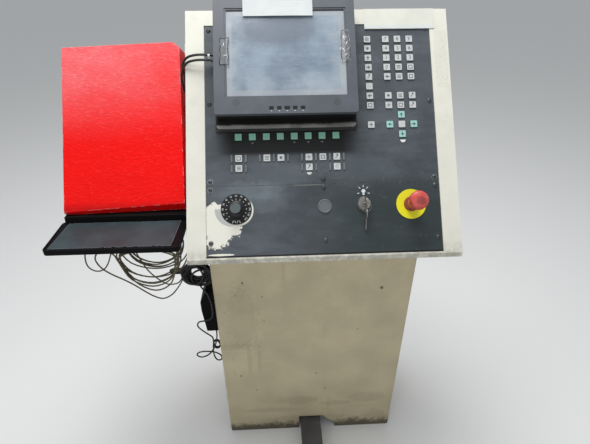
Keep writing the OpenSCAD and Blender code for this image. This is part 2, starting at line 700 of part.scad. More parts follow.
module monitor_bezel() color(charcoal) difference() {
    slab(mon_u, mon_mid_v, mon_front - bezel_t, mon_front) rounded(mon_w, mon_v, mon_r);
    slab(mon_u, mon_mid_v, mon_front - bezel_t - eps, mon_front - mon_wall)
        square([mon_w - 2 * mon_wall, mon_v - 2 * mon_wall], center = true);
    slab(glass_u, glass_mid_v, mon_front - mon_wall - eps, mon_front + eps)
        square([glass_w, glass_v], center = true);
    // Step around the glass
    slab(glass_u, glass_mid_v, mon_front - 1.4, mon_front + eps) rounded(glass_w + 7, glass_v + 7, 2);
    for (i = [0:4]) slab(button_u[i], button_v, mon_front - mon_wall - eps, mon_front + eps)
        rounded(button_w[i] + 0.5, button_tall + 0.5, 1.2);
}

module monitor_button(i) color(black) {
    slab(button_u[i], button_v, mon_front - mon_wall - button_foot, mon_front - mon_wall - 0.4)
        square([button_w[i] + 3, button_tall + 3], center = true);
    slab(button_u[i], button_v, mon_front - mon_wall - 0.5, mon_front + button_travel + 0.3)
        rounded(button_w[i], button_tall, 1);
}
module monitor_button_1() monitor_button(0);
module monitor_button_2() monitor_button(1);
module monitor_button_3() monitor_button(2);
module monitor_button_4() monitor_button(3);
module monitor_button_5() monitor_button(4);

module monitor_shell() color(black) {
    slab(mon_u, mon_mid_v, gasket_t + bracket_t, mon_front - bezel_t)
        rounded(mon_w - 3, mon_v - 3, mon_r - 1.5);
    slab(mon_u, chassis_mid_v, -chassis_depth, gasket_t + bracket_t + 0.5)
        square([chassis_w, chassis_v], center = true);
    // Inner frame behind the glass, and the carrier behind the buttons
    slab(glass_u, glass_mid_v, mon_front - bezel_t - 0.5, mon_front - mon_wall - glass_t)
        square([glass_w + 2, glass_v + 2], center = true);
    carrier_top = mon_front - mon_wall - button_foot - button_travel - 0.2;
    slab(button_u[2], button_v, mon_front - bezel_t - 0.5, carrier_top)
        square([button_u[4] - button_u[0] + 20, button_tall + 6], center = true);
}

module monitor_glass() color("#7d8894")
    slab(glass_u, glass_mid_v, mon_front - mon_wall - glass_t, mon_front - mon_wall)
        square([glass_w + 2 * glass_lip, glass_v + 2 * glass_lip], center = true);

// Plate or seal behind the monitor, open for the monitor's chassis
module behind_monitor(low, top, extra, r, clear) difference() {
    translate([mon_u, (low + top) / 2]) rounded(mon_w + extra, top - low, r);
    translate([mon_u, chassis_mid_v]) square([chassis_w + clear, chassis_v + clear], center = true);
}
module monitor_bracket() color(steel)
    slab(0, 0, gasket_t, gasket_t + bracket_t) behind_monitor(bracket_low, bracket_top, 2, 8, 1);
module screen_gasket() color(black)
    slab(0, 0, 0, gasket_t) behind_monitor(gasket_low, gasket_top, 6, 4, 6);

// Round controls

module override_dial() color(black) on_slope(dial_u, dial_v, 0) difference() {
    cylinder(d = dial_d, h = 1.6);
    translate([0, 0, -eps]) cylinder(d = 10.4, h = 4);
}

module override_switch() color(dark_steel) on_slope(dial_u, dial_v, 0) difference() {
    union() {
        translate([0, 0, -panel_t - 34]) linear_extrude(34) rounded(40, 40, 3);
        translate([0, 0, -panel_t - 1]) cylinder(d = 10, h = panel_t + 5);
        translate([0, 0, 1.6]) cylinder(d = 14, h = 2, $fn = 6);
    }
    translate([0, 0, -24]) cylinder(d = spindle_d + 2 * run_clear, h = 40);
}

module override_knob() color("#3b3f42") on_slope(dial_u, dial_v, 0) {
    difference() {
        rotate_extrude() polygon([[0, 4.6], [8.4, 4.6], [8.4, 2.2], [knob_d / 2, 2.2], [knob_d / 2, 3.4],
            [knob_d / 2 - 3, 5], [knob_d / 2 - 6, 6], [11.5, 20], [10.5, 21.5], [0, 21.5]]);
        for (k = [0:11]) rotate(30 * k + 15) translate([14.4, 0, 7]) cylinder(r = 2.2, h = 20);
        rotate(120) translate([9.5, 0, 20.7]) cube([5, 1.4, 2], center = true);
    }
    translate([0, 0, -20]) cylinder(d = spindle_d, h = 25);
}

module blanking_plug() color("#6f7377") on_slope(plug_u, controls_v, 0) {
    rotate_extrude() polygon([[0, 0], [14.8, 0], [14.8, 1.2], [13.2, 2.6], [12, 2.6], [10.8, 1.8], [0, 1.8]]);
    translate([0, 0, -14]) cylinder(d = 22, h = 14.2);
    translate([0, 0, -panel_t - 4]) cylinder(d = 29, h = 4, $fn = 6);
}

module key_switch() color(steel) on_slope(lock_u, lock_v, 0) difference() {
    union() {
        rotate_extrude() polygon([[0, 0], [14.8, 0], [14.8, 3], [12.5, 6.5], [0, 6.5]]);
        translate([0, 0, -30]) cylinder(d = 22, h = 30.2);
        translate([0, 0, -58]) linear_extrude(28.2) rounded(30, 40, 2);
        translate([0, 0, -panel_t - 4]) cylinder(d = 28, h = 4, $fn = 6);
    }
    translate([0, 0, -24]) cylinder(d = barrel_d + 2 * run_clear, h = 40);
}

key_t = 2.2;
module key_barrel() color("#c8cacc") on_slope(lock_u, lock_v, 0) difference() {
    translate([0, 0, -23.8]) cylinder(d = barrel_d, h = 29.8);
    translate([0, 0, -4]) cube([key_t + 0.3, 8.3, 24], center = true);
    translate([0, 0, 4]) cube([key_t + 0.3, 8.3, 24], center = true);
}

// Outline of a key: its bow with a hole, and its blade down the middle
module key_outline(blade) difference() {
    union() {
        circle(d = bow_d);
        translate([-blade_w / 2, -bow_d / 2 - blade]) square([blade_w, blade + 4]);
    }
    translate([0, bow_hole_y]) circle(d = bow_hole_d);
}
module flat_key(blade) rotate([90, 0, 90]) linear_extrude(key_t, center = true) key_outline(blade);

module switch_key() color(steel) on_slope(lock_u, lock_v, bow_hole_h - bow_hole_y) flat_key(25.9);

// The ring passes through the bow's hole and hangs down the slope towards the panel
module hang() on_slope(lock_u, lock_v, bow_hole_h) rotate([hang_tilt, 0, 0]) children();
module key_ring() color("#d0d2d4") hang() translate([0, -ring_drop, 0])
    rotate_extrude() translate([ring_r, 0]) circle(d = ring_wire_d, $fn = 16);
module spare_key() color(steel) hang() translate([0, spare_y, 0])
    rotate([0, 90, 0]) linear_extrude(key_t, center = true) key_outline(spare_blade);

module estop_plate() color("#f2c500") on_slope(stop_u, controls_v, 0) difference() {
    cylinder(d = stop_plate_d, h = 1.6);
    translate([0, 0, -eps]) cylinder(d = control_hole_d, h = 4);
}

collar_top = head_h - stop_travel - 3;
module estop_collar() color(black) on_slope(stop_u, controls_v, 0) difference() {
    union() {
        translate([0, 0, -32]) cylinder(d = 22, h = 36);
        rotate_extrude() polygon([[0, 1.6], [15.5, 1.6], [15.5, 3.2], [13.5, collar_top], [0, collar_top]]);
        translate([0, 0, -panel_t - 5]) cylinder(d = 29, h = 5, $fn = 6);
    }
    translate([0, 0, -40]) cylinder(d = plunger_d + 2 * run_clear, h = 80);
}

module estop_plunger() color(steel) on_slope(stop_u, controls_v, 0) {
    translate([0, 0, -24]) cylinder(d = plunger_d, h = 24 + head_h);
    translate([0, 0, head_h - 0.5]) cylinder(d = spigot_d, h = spigot_h + 0.5);
}

// Head on a long tapered neck, with finger grooves around its rim
module estop_mushroom() color("#d42a20") on_slope(stop_u, controls_v, head_h) {
    r = mushroom_d / 2;
    rim = spigot_h + 5;
    difference() {
        rotate_extrude() polygon(concat([[0, 0.2], [11.6, 0.2], [12, 14], [13.4, 21], [r - 2.5, rim - 3],
            [r, rim], [r, rim + 4]],
            [for (a = [20:14:90]) [(r - 6) + 6 * cos(a), rim + 4 + 8 * sin(a)]],
            [[r - 9, rim + 13], [0, rim + 14]]));
        translate([0, 0, -eps]) cylinder(d = spigot_d + 2 * run_clear, h = spigot_h + eps + 0.2);
        for (k = [0:5]) rotate(60 * k) translate([r + 1.5, 0, rim - 6]) cylinder(r = 3, h = 24);
    }
}

module estop_contacts() color("#8c2f2a") on_slope(stop_u, controls_v, -66)
    linear_extrude(34) rounded(30, 42, 2);

// Side unit

module side_tray() color(black) at_desk()
    translate([tray_x + tray_w / 2, tray_y + tray_d / 2, tray_z - tray_t]) difference() {
        linear_extrude(tray_t) rounded(tray_w, tray_d, 9);
        translate([0, 0, tray_t - tray_sink]) linear_extrude(tray_sink + eps)
            rounded(tray_w - 2 * tray_rim, tray_d - 2 * tray_rim, 6);
    }

// Thin mat in the tray, its front edge curled up in a row of small waves
module tray_mat() color("#3a3b3e") at_desk() translate([tray_x, tray_y, tray_z - tray_sink]) difference() {
    linear_extrude(1.6) polygon([[tray_rim + 6, tray_rim + 5], [tray_w - 17, tray_rim + 5],
        [tray_w - 13, tray_d - tray_rim - 3], [tray_rim + 12, tray_d - tray_rim - 3]]);
    for (x = [114, 136, 158, 180, 214]) translate([x, tray_rim + 3, -eps]) cylinder(d = 9, h = 4);
}

module shelf_bracket() color(steel) at_desk() {
    x0 = tray_x + 20;
    z0 = tray_z - tray_t - shelf_t;
    difference() {
        translate([x0, 30, z0]) cube([desk_left - x0, shelf_back_y - 30, shelf_t]);
        translate([desk_left - tray_gap - 6, 30 - eps, z0 - eps])
            cube([tray_gap + 6 + eps, shelf_notch_y - 30 + eps, shelf_t + 2 * eps]);
    }
    translate([desk_left - shelf_t, shelf_notch_y, z0]) cube([shelf_t, shelf_back_y - shelf_notch_y, 55]);
    for (y = [shelf_notch_y + 20, shelf_back_y - 20]) translate([desk_left - shelf_t - 4, y, z0 + 36])
        rotate([0, 90, 0]) cylinder(d = 12, h = 4.2, $fn = 6);
}

module terminal_unit() color(black) at_desk() {
    // Foot of the terminal, its front edge on the tray's back
    along_x(hood_x + 1, desk_left - tray_gap - 1) polygon([[base_front_y, tray_z + 0.1],
        [base_front_y + 1, base_top_z], [shelf_back_y, base_top_z], [shelf_back_y, tray_z - tray_t],
        [tray_y + tray_d + 0.5, tray_z - tray_t], [tray_y + tray_d + 0.5, tray_z + 0.1]]);
    // Screen housing
    along_x(term_left, term_right) polygon([hood_point(0, term_front_h), hood_point(term_v, term_front_h),
        hood_point(term_v, term_front_h - term_t), hood_point(60, term_front_h - term_t),
        [shelf_back_y - 10, base_top_z - 0.5], hood_point(0, term_front_h) + [8, -2]]);
}

// Bent strap that ties the top of the terminal to the desk's side, behind the hood's rim
module terminal_strap() color("#c5c8ca") {
    back_h = term_front_h - term_t + 0.5;
    on_hood(term_right - hood_x - 50, term_v, back_h)
        cube([hood_off - (term_right - hood_x) + 50, strap_t, strap_arm]);
    on_hood(hood_off - strap_t, strap_v, back_h) cube([strap_t, strap_w, -back_h + 18]);
}

module hood_outer() hull() {
    on_hood(0, 0, -1) linear_extrude(1) polygon(hood_face);
    on_hood(0, 0, -hood_d) linear_extrude(1) polygon(hood_rim);
}
module hood_inner() hull() {
    on_hood(0, 0, -hood_skin - 0.2) linear_extrude(0.2) polygon(inset(hood_face, hood_skin));
    on_hood(0, 0, -hood_d - eps) linear_extrude(eps) polygon(inset(hood_rim, hood_skin));
}
module red_cover() color("#e0171a") difference() {
    hood_outer();
    hood_inner();
    at_desk() translate([hood_x - 50, 0, base_top_z - 200]) cube([400, 400, 200]);
}

// Cords and what they carry

module power_adapter() color(black) at_desk() {
    y0 = adapter_y[0];
    y1 = adapter_y[1];
    translate([ped_left - adapter_t, y1, 0]) rotate([90, 0, 0])
        linear_extrude(y1 - y0) polygon([[7, adapter_z[0]], [adapter_t, adapter_z[0]],
            [adapter_t, adapter_z[1]], [14, adapter_z[1]], [0, adapter_z[1] - 30], [0, adapter_z[1] - 60]]);
    translate(lead_route[0]) cylinder(d1 = 6, d2 = 9, h = adapter_z[0] - lead_route[0][2] + 0.5);
}

module black_coil() color(black) at_desk() translate(coil_at) rotate([90, 0, 0])
    rotate_extrude() translate([coil_r, 0]) circle(d = coil_bundle_d, $fn = 20);

module coil_plug() color(black)
    at_desk() translate([coil_at[0] - coil_r - 8, coil_at[1], coil_at[2] + 6]) rotate([0, -90, 0]) {
    cylinder(d = 16, h = 26);
    translate([0, 0, 26]) cylinder(d1 = 16, d2 = 9, h = 8);
}

module monitor_cable_a() color(black) at_desk() tube(smooth(mon_route_a, 3), mon_cable_d);
module monitor_cable_b() color(black) at_desk() tube(smooth(mon_route_b, 3), mon_cable_d);
module olive_cable_a() color(olive) at_desk() tube(olive_route_a, olive_d);
module olive_cable_b() color(olive) at_desk() tube(olive_route_b, olive_d);
module adapter_lead() color(black) at_desk() tube(smooth(lead_route, 2), lead_d);

// Glands of the terminal's cables in the pedestal's left side, behind the coil
gland_d = 9.6;
module gland_places() at_desk() for (y = gland_ys) translate([ped_left, y, gland_z]) rotate([0, -90, 0])
    children();
module cable_glands() color(black) gland_places() {
    cylinder(d = 17, h = 6, $fn = 6);
    translate([0, 0, 6]) cylinder(d1 = 14, d2 = 9, h = gland_h - 6);
    translate([0, 0, -6]) cylinder(d = gland_d, h = 6.2);
}

pedestal_shell();
foot_beam();
foot_end_cap();
beam_bridge();
service_door();
hinge_pins();
door_lock();
mounting_plate();
power_supply();
desk_shell();
desk_bolts();
desk_rear_cover();
cover_screws();
upper_panel();
lower_panel();
panel_screws();
monitor_bezel();
monitor_shell();
monitor_glass();
monitor_bracket();
screen_gasket();
monitor_button_1();
monitor_button_2();
monitor_button_3();
monitor_button_4();
monitor_button_5();
keymat_main();
keymat_softkeys();
keymat_function();
key_guards();
keypad_board();
override_dial();
override_knob();
override_switch();
blanking_plug();
key_switch();
key_barrel();
switch_key();
key_ring();
spare_key();
estop_plate();
estop_collar();
estop_plunger();
estop_mushroom();
estop_contacts();
side_tray();
tray_mat();
shelf_bracket();
terminal_unit();
terminal_strap();
red_cover();
power_adapter();
black_coil();
coil_plug();
monitor_cable_a();
monitor_cable_b();
olive_cable_a();
olive_cable_b();
adapter_lead();
cable_glands();
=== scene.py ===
"""Looks of a factory machine's control console, built round its packed construction.

The console is a sheet steel pedestal with a sloping desk. The desk holds a two-part dark panel with
keys, round controls and a flat monitor. A hooded side terminal stands on a tray at the left, and
loose cables hang below it. Each sub-assembly is a class that builds its meshes and dresses them.
"""

import logging
import math
from collections.abc import Sequence
from dataclasses import dataclass
from enum import Enum

import bmesh
import bpy
from mathutils import Matrix, Vector, noise


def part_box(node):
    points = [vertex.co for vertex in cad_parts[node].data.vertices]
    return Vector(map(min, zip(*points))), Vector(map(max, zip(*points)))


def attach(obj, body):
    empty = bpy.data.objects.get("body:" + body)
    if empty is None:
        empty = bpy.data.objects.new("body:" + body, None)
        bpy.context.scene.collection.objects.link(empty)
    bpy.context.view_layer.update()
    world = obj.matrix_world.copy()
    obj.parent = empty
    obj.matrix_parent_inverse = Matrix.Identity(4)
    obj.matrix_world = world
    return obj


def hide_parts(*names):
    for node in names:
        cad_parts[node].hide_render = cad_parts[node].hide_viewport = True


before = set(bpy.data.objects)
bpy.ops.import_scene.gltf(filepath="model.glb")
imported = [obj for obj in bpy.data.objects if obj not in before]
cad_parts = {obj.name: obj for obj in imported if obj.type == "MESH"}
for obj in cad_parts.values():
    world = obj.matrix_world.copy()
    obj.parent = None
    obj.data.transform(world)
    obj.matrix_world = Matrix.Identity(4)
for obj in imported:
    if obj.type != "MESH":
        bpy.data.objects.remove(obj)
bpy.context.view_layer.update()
LOG = logging.getLogger("console")

Colour = tuple[float, float, float]
Pair = tuple[float, float]
Point = tuple[float, float, float]
Node = bpy.types.Node
Socket = bpy.types.NodeSocket
Shape = bmesh.types.BMesh

MM = 0.001
PANEL_SLOPE = math.radians(52.5)
PLATE = 2.0
DIAL = (-180.5, 97.5)
CONSOLE = "console"


@dataclass(frozen=True)
class Place:
    """A tilted working plane: u to the right, v up the slope, h out of the surface, in millimetres."""

    origin: Vector
    slope: float

    def matrix(self, u: float = 0.0, v: float = 0.0, h: float = 0.0) -> Matrix:
        """Returns the transform that carries millimetres at u, v and h to metres in the part's frame."""
        tilt = Matrix.Translation(self.origin) @ Matrix.Rotation(self.slope, 4, "X")
        return tilt @ Matrix.Scale(MM, 4) @ Matrix.Translation((u, v, h))


def panel_place() -> Place:
    """Finds the panel's plane, its origin in the middle of the lower plate's lower edge.

    Returns:
        The plane.
    """
    low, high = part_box("lower_panel")
    lift = PLATE * MM * math.cos(PANEL_SLOPE)
    return Place(Vector(((low.x + high.x) / 2, low.y, low.z + lift)), PANEL_SLOPE)


PANEL = panel_place()
DESK = PANEL.origin


def at_desk(point: Sequence[float]) -> Vector:
    """Returns a point of the desk's frame, given in millimetres, in metres in the part's frame."""
    return DESK + Vector(point) * MM


class Tree:
    """A thin layer over a shader node tree that adds nodes and joins their sockets."""

    def __init__(self, tree: bpy.types.NodeTree) -> None:
        """Keeps the tree that nodes are added to."""
        self.tree = tree

    def add(self, kind: str, feeds: dict | None = None, **settings: object) -> Node:
        """Adds a node.

        Args:
            kind: the node's class name.
            feeds: input name or index to a socket or a constant.
            settings: properties of the node itself.

        Returns:
            The new node.
        """
        node = self.tree.nodes.new(kind)
        for name, value in settings.items():
            setattr(node, name, value)
        for key, value in (feeds or {}).items():
            self.feed(node.inputs[key], value)
        return node

    def feed(self, socket: Socket, value: object) -> None:
        """Joins a socket to an input, or sets the input's constant.

        Args:
            socket: the input.
            value: a socket or a constant; three numbers make an opaque colour where one is asked for.
        """
        if isinstance(value, bpy.types.NodeSocket):
            self.tree.links.new(value, socket)
        elif isinstance(value, tuple) and len(value) == 3 and socket.type == "RGBA":
            socket.default_value = (*value, 1.0)
        else:
            socket.default_value = value

    def use(self, group: bpy.types.NodeTree, feeds: dict) -> Socket:
        """Places a node group, feeds its inputs and returns its result."""
        return self.add("ShaderNodeGroup", feeds, node_tree=group).outputs[0]

    def math(self, operation: str, first: object, second: object) -> Socket:
        """Returns the result of a Math node."""
        return self.add("ShaderNodeMath", {0: first, 1: second}, operation=operation).outputs[0]

    def times(self, first: object, second: object) -> Socket:
        """Returns a product."""
        return self.math("MULTIPLY", first, second)

    def plus(self, first: object, second: object) -> Socket:
        """Returns a sum."""
        return self.math("ADD", first, second)

    def off(self, value: Socket, middle: float) -> Socket:
        """Returns how far a value lies from a middle, on either side."""
        return self.math("ABSOLUTE", self.math("SUBTRACT", value, middle), 0.0)

    def vector(self, operation: str, first: object, second: object = (0.0, 0.0, 0.0)) -> Node:
        """Returns a Vector Math node."""
        return self.add("ShaderNodeVectorMath", {0: first, 1: second}, operation=operation)

    def span(self, value: Socket, low: object, high: object, start: float = 0.0, end: float = 1.0) -> Socket:
        """Maps a value smoothly from low..high to start..end and clamps it."""
        feeds = {0: value, 1: low, 2: high, 3: start, 4: end}
        return self.add("ShaderNodeMapRange", feeds, interpolation_type="SMOOTHSTEP").outputs[0]

    def over(self, value: Socket, cover: Socket, top: float, share: float, width: float) -> Socket:
        """Returns a soft mask of what lies over a limit that sinks from the top as the cover grows."""
        low = self.math("SUBTRACT", top, self.times(cover, share))
        return self.span(value, low, self.plus(low, width))

    def mix(self, factor: object, first: object, second: object) -> Socket:
        """Returns a mix of two colours."""
        return self.add("ShaderNodeMix", {0: factor, 6: first, 7: second}, data_type="RGBA").outputs[2]

    def noise(self, vector: Socket, scale: object, detail: float = 4.0, rough: float = 0.55) -> Socket:
        """Returns a noise value between 0 and 1."""
        feeds = {"Vector": vector, "Scale": scale, "Detail": detail, "Roughness": rough}
        return self.add("ShaderNodeTexNoise", feeds).outputs[0]

    def stretch(self, vector: Socket, scale: Point, turn: Point = (0.0, 0.0, 0.0)) -> Socket:
        """Returns a vector turned and scaled by its own axes."""
        return self.add("ShaderNodeMapping", {"Vector": vector, "Scale": scale, "Rotation": turn}).outputs[0]

    def drawn(self, vector: Socket, scale: Point, detail: float, rough: float = 0.55,
              turn: float = 0.0) -> Socket:
        """Returns noise drawn out by a scale for each axis and turned about Z."""
        return self.noise(self.stretch(vector, scale, (0.0, 0.0, turn)), 1.0, detail, rough)

    def cells(self, vector: Socket, scale: object) -> Socket:
        """Returns the distance to the nearest of many scattered points."""
        return self.add("ShaderNodeTexVoronoi", {"Vector": vector, "Scale": scale}).outputs[0]

    def parts(self, vector: Socket) -> tuple[Socket, Socket, Socket]:
        """Returns a vector's three parts."""
        node = self.add("ShaderNodeSeparateXYZ", {0: vector})
        return node.outputs[0], node.outputs[1], node.outputs[2]

    def where(self) -> Socket:
        """Returns object coordinates."""
        return self.add("ShaderNodeTexCoord").outputs["Object"]

    def millimetres(self, vector: Socket) -> Socket:
        """Returns a vector of metres in millimetres."""
        feeds = {0: vector, "Scale": 1 / MM}
        return self.add("ShaderNodeVectorMath", feeds, operation="SCALE").outputs[0]

    def on_panel(self) -> Socket:
        """Returns object coordinates carried to the panel's plane, in millimetres."""
        shifted = self.vector("SUBTRACT", self.where(), tuple(DESK)).outputs[0]
        return self.millimetres(self.stretch(shifted, (1.0, 1.0, 1.0), (-PANEL_SLOPE, 0.0, 0.0)))


class Effects:
    """Shader node groups that several finishes share, each built once."""

    def __init__(self) -> None:
        """Builds the groups."""
        self.grime = self._grime()
        self.grain = self._grain()
        self.blotch = self._blotch()
        self.streaks = self._streaks()
        self.edges = self._edges()

    @staticmethod
    def _group(name: str, inputs: dict[str, float | Point], output: str) -> tuple[Tree, dict[str, Socket]]:
        """Makes an empty group with its sockets.

        Args:
            name: the group's name.
            inputs: input names and default values; a triple makes a vector.
            output: the name of its one result, a number.

        Returns:
            The tree helper and the group's input sockets by name.
        """
        tree = bpy.data.node_groups.new(name, "ShaderNodeTree")
        for label, value in inputs.items():
            kind = "NodeSocketVector" if isinstance(value, tuple) else "NodeSocketFloat"
            tree.interface.new_socket(label, in_out="INPUT", socket_type=kind).default_value = value
        tree.interface.new_socket(output, in_out="OUTPUT", socket_type="NodeSocketFloat")
        entry = tree.nodes.new("NodeGroupInput")
        return Tree(tree), {socket.name: socket for socket in entry.outputs if socket.name}

    @staticmethod
    def _close(nodes: Tree, result: Socket) -> bpy.types.NodeTree:
        """Joins the result to the group's output and returns the group."""
        nodes.add("NodeGroupOutput", {0: result})
        return nodes.tree

    def _grime(self) -> bpy.types.NodeTree:
        """Makes cloudy dirt over two sizes of noise.

        Returns:
            The group, whose result is a mask.
        """
        nodes, given = self._group("grime", {"Scale": 8.0, "Cover": 0.4}, "Mask")
        where = nodes.where()
        wide = nodes.noise(where, given["Scale"], 6.0, 0.6)
        close = nodes.noise(where, 160.0, 3.0)
        both = nodes.plus(nodes.times(wide, 0.75), nodes.times(close, 0.25))
        return self._close(nodes, nodes.over(both, given["Cover"], 0.78, 0.5, 0.16))

    def _grain(self) -> bpy.types.NodeTree:
        """Makes fine surface grain.

        Returns:
            The group, whose result is a height between 0 and 1.
        """
        nodes, given = self._group("grain", {"Scale": 900.0}, "Height")
        where = nodes.where()
        fine = nodes.noise(where, given["Scale"], 2.0, 0.5)
        cells = nodes.cells(where, given["Scale"])
        return self._close(nodes, nodes.plus(nodes.times(fine, 0.6), nodes.times(cells, 0.4)))

    def _blotch(self) -> bpy.types.NodeTree:
        """Makes a ragged ellipse.

        Returns:
            The group, whose result is 1 inside and 0 outside.
        """
        inputs = {"Place": (0.0, 0.0, 0.0), "Centre": (0.0, 0.0, 0.0), "Size": (1.0, 1.0, 1.0), "Rag": 0.3,
                  "Detail": 0.1, "Soft": 0.08}
        nodes, given = self._group("blotch", inputs, "Mask")
        off = nodes.vector("SUBTRACT", given["Place"], given["Centre"]).outputs[0]
        share = nodes.vector("DIVIDE", off, given["Size"]).outputs[0]
        reach = nodes.vector("LENGTH", share).outputs["Value"]
        rough = nodes.noise(given["Place"], given["Detail"], 8.0, 0.75)
        push = nodes.times(nodes.math("SUBTRACT", rough, 0.5), nodes.times(given["Rag"], 4.0))
        edge = nodes.plus(reach, push)
        return self._close(nodes, nodes.span(edge, nodes.plus(1.0, given["Soft"]), 1.0))

    def _streaks(self) -> bpy.types.NodeTree:
        """Makes long thin marks that run down the surface.

        Returns:
            The group, whose result is a mask.
        """
        nodes, given = self._group("streaks", {"Width": 60.0, "Cover": 0.3}, "Mask")
        feeds = {0: given["Width"], 1: given["Width"], 2: 4.0}
        pull = nodes.add("ShaderNodeCombineXYZ", feeds).outputs[0]
        value = nodes.noise(nodes.vector("MULTIPLY", nodes.where(), pull).outputs[0], 1.0, 5.0, 0.6)
        return self._close(nodes, nodes.over(value, given["Cover"], 0.75, 0.4, 0.14))

    def _edges(self) -> bpy.types.NodeTree:
        """Makes worn edges and corners, broken up by noise; the same mask carries painted edge highlights on
        some finishes.

        Returns:
            The group, whose result is a mask.
        """
        nodes, given = self._group("edge_wear_and_highlight", {"Radius": 0.0015, "Cover": 0.5}, "Mask")
        soft = nodes.add("ShaderNodeBevel", {"Radius": given["Radius"]}, samples=4).outputs[0]
        plain = nodes.add("ShaderNodeNewGeometry").outputs["Normal"]
        match = nodes.vector("DOT_PRODUCT", soft, plain).outputs["Value"]
        broken = nodes.noise(nodes.where(), 45.0, 5.0, 0.7)
        spots = nodes.over(broken, given["Cover"], 0.75, 0.4, 0.1)
        return self._close(nodes, nodes.times(nodes.span(match, 0.995, 0.90), spots))


FX = Effects()


def blotch(nodes: Tree, place: Socket, middle: Point, size: Point, rag: float, detail: float,
           soft: float) -> Socket:
    """Adds the mask of one ragged ellipse.

    Args:
        nodes: the material's tree.
        place: where the surface is, in millimetres.
        middle: the ellipse's centre.
        size: its half axes.
        rag: how far its edge wanders.
        detail: the scale of the wandering.
        soft: the width of its edge, as a share of its size.

    Returns:
        The mask.
    """
    return nodes.use(FX.blotch, {"Place": place, "Centre": middle, "Size": size, "Rag": rag,
                                 "Detail": detail, "Soft": soft})


@dataclass
class Paint:
    """A surface in the making: its tree, and the colour and roughness built up so far."""

    nodes: Tree
    colour: Socket
    rough: Socket

    def cover(self, shade: Colour | Socket, mask: Socket) -> None:
        """Lays a shade over the colour by a mask."""
        self.colour = self.nodes.mix(mask, self.colour, shade)

    def wash(self, shade: Colour, mask: Socket, depth: float) -> None:
        """Lays a shade over the colour by a mask and a depth."""
        self.cover(shade, self.nodes.times(mask, depth))

    def roughen(self, amount: Socket) -> None:
        """Adds to the roughness."""
        self.rough = self.nodes.plus(self.rough, amount)


CLOUD_RATIO = 1.7
COAT_ROUGHNESS = 0.12
DIRT_ROUGHNESS = 0.25
BUMP_DISTANCE = 0.001


@dataclass(frozen=True)
class Finish:
    """A surface finish: base colour with cloudy variation, dirt, edge wear and grain; on some finishes the
    edge colour is partly a painted edge highlight.
    """

    name: str
    colour: Colour
    roughness: float = 0.5
    metallic: float = 0.0
    variation: float = 0.06
    grain_scale: float = 900.0
    grain: float = 0.1
    grime: float = 0.3
    grime_scale: float = 9.0
    grime_colour: Colour = (0.045, 0.04, 0.03)
    grime_depth: float = 0.35
    wear: float = 0.0
    wear_colour: Colour = (0.5, 0.5, 0.5)
    wear_radius: float = 0.0012
    coat: float = 0.0
    specular: float = 0.5

    def build(self) -> bpy.types.Material:
        """Builds the finish.

        Returns:
            The finished material.
        """
        material = bpy.data.materials.new(self.name)
        material.use_nodes = True
        material.node_tree.nodes.clear()
        nodes = Tree(material.node_tree)
        cloud = nodes.noise(nodes.where(), self.grime_scale * CLOUD_RATIO, 5.0, 0.6)
        light = tuple(min(1.0, part * (1 + self.variation)) for part in self.colour)
        dark = tuple(part * (1 - self.variation) for part in self.colour)
        rough = nodes.span(cloud, 0.25, 0.75, self.roughness * 0.88, min(1.0, self.roughness * 1.14))
        paint = Paint(nodes, nodes.mix(nodes.span(cloud, 0.3, 0.7), dark, light), rough)
        self.tint(paint)
        dirt = nodes.use(FX.grime, {"Scale": self.grime_scale, "Cover": self.grime})
        depth = nodes.times(dirt, self.grime_depth)
        paint.cover(self.grime_colour, depth)
        paint.roughen(nodes.times(depth, DIRT_ROUGHNESS))
        if self.wear:
            # Edge colour: real wear, and on the hood, the pedestal and the tray's mat partly a painted edge
            # highlight.
            worn = nodes.use(FX.edges, {"Radius": self.wear_radius, "Cover": self.wear})
            paint.cover(self.wear_colour, worn)
        shader = nodes.add("ShaderNodeBsdfPrincipled", {
            "Base Color": paint.colour, "Roughness": paint.rough, "Metallic": self.metallic,
            "Specular IOR Level": self.specular, "Coat Weight": self.coat, "Coat Roughness": COAT_ROUGHNESS})
        self.shade(nodes, shader)
        feeds = {"Strength": self.grain, "Distance": BUMP_DISTANCE, "Height": self.relief(nodes)}
        nodes.feed(shader.inputs["Normal"], nodes.add("ShaderNodeBump", feeds).outputs[0])
        nodes.add("ShaderNodeOutputMaterial", {"Surface": shader.outputs[0]})
        return material

    def tint(self, paint: Paint) -> None:
        """Adds what is special about the finish to its colour and roughness; the plain one adds nothing."""

    def relief(self, nodes: Tree) -> Socket:
        """Returns the height that drives the bump."""
        return nodes.use(FX.grain, {"Scale": self.grain_scale})

    def shade(self, nodes: Tree, shader: Node) -> None:
        """Sets what is special about the shader; the plain finish sets nothing."""


@dataclass(frozen=True)
class DeskEnamel(Finish):
    """Cream enamel of the desk, darker in patches along the low front, and smudged."""

    dulled: Colour = (0.24, 0.21, 0.15)
    smudged: Colour = (0.42, 0.38, 0.28)

    def tint(self, paint: Paint) -> None:
        """Darkens the low front in patches and smudges the rest.

        Args:
            paint: the surface so far.
        """
        nodes = paint.nodes
        place = nodes.on_panel()
        _, up, _ = nodes.parts(place)
        spots = nodes.noise(place, 0.06, 6.0, 0.7)
        # Darker and browner in patches along the low front and the lip.
        low_front = nodes.times(nodes.span(up, 30.0, -12.0), nodes.span(spots, 0.3, 0.62))
        paint.wash(self.dulled, low_front, 0.55)
        paint.wash(self.smudged, nodes.span(nodes.noise(place, 0.02, 4.0, 0.6), 0.55, 0.75), 0.16)


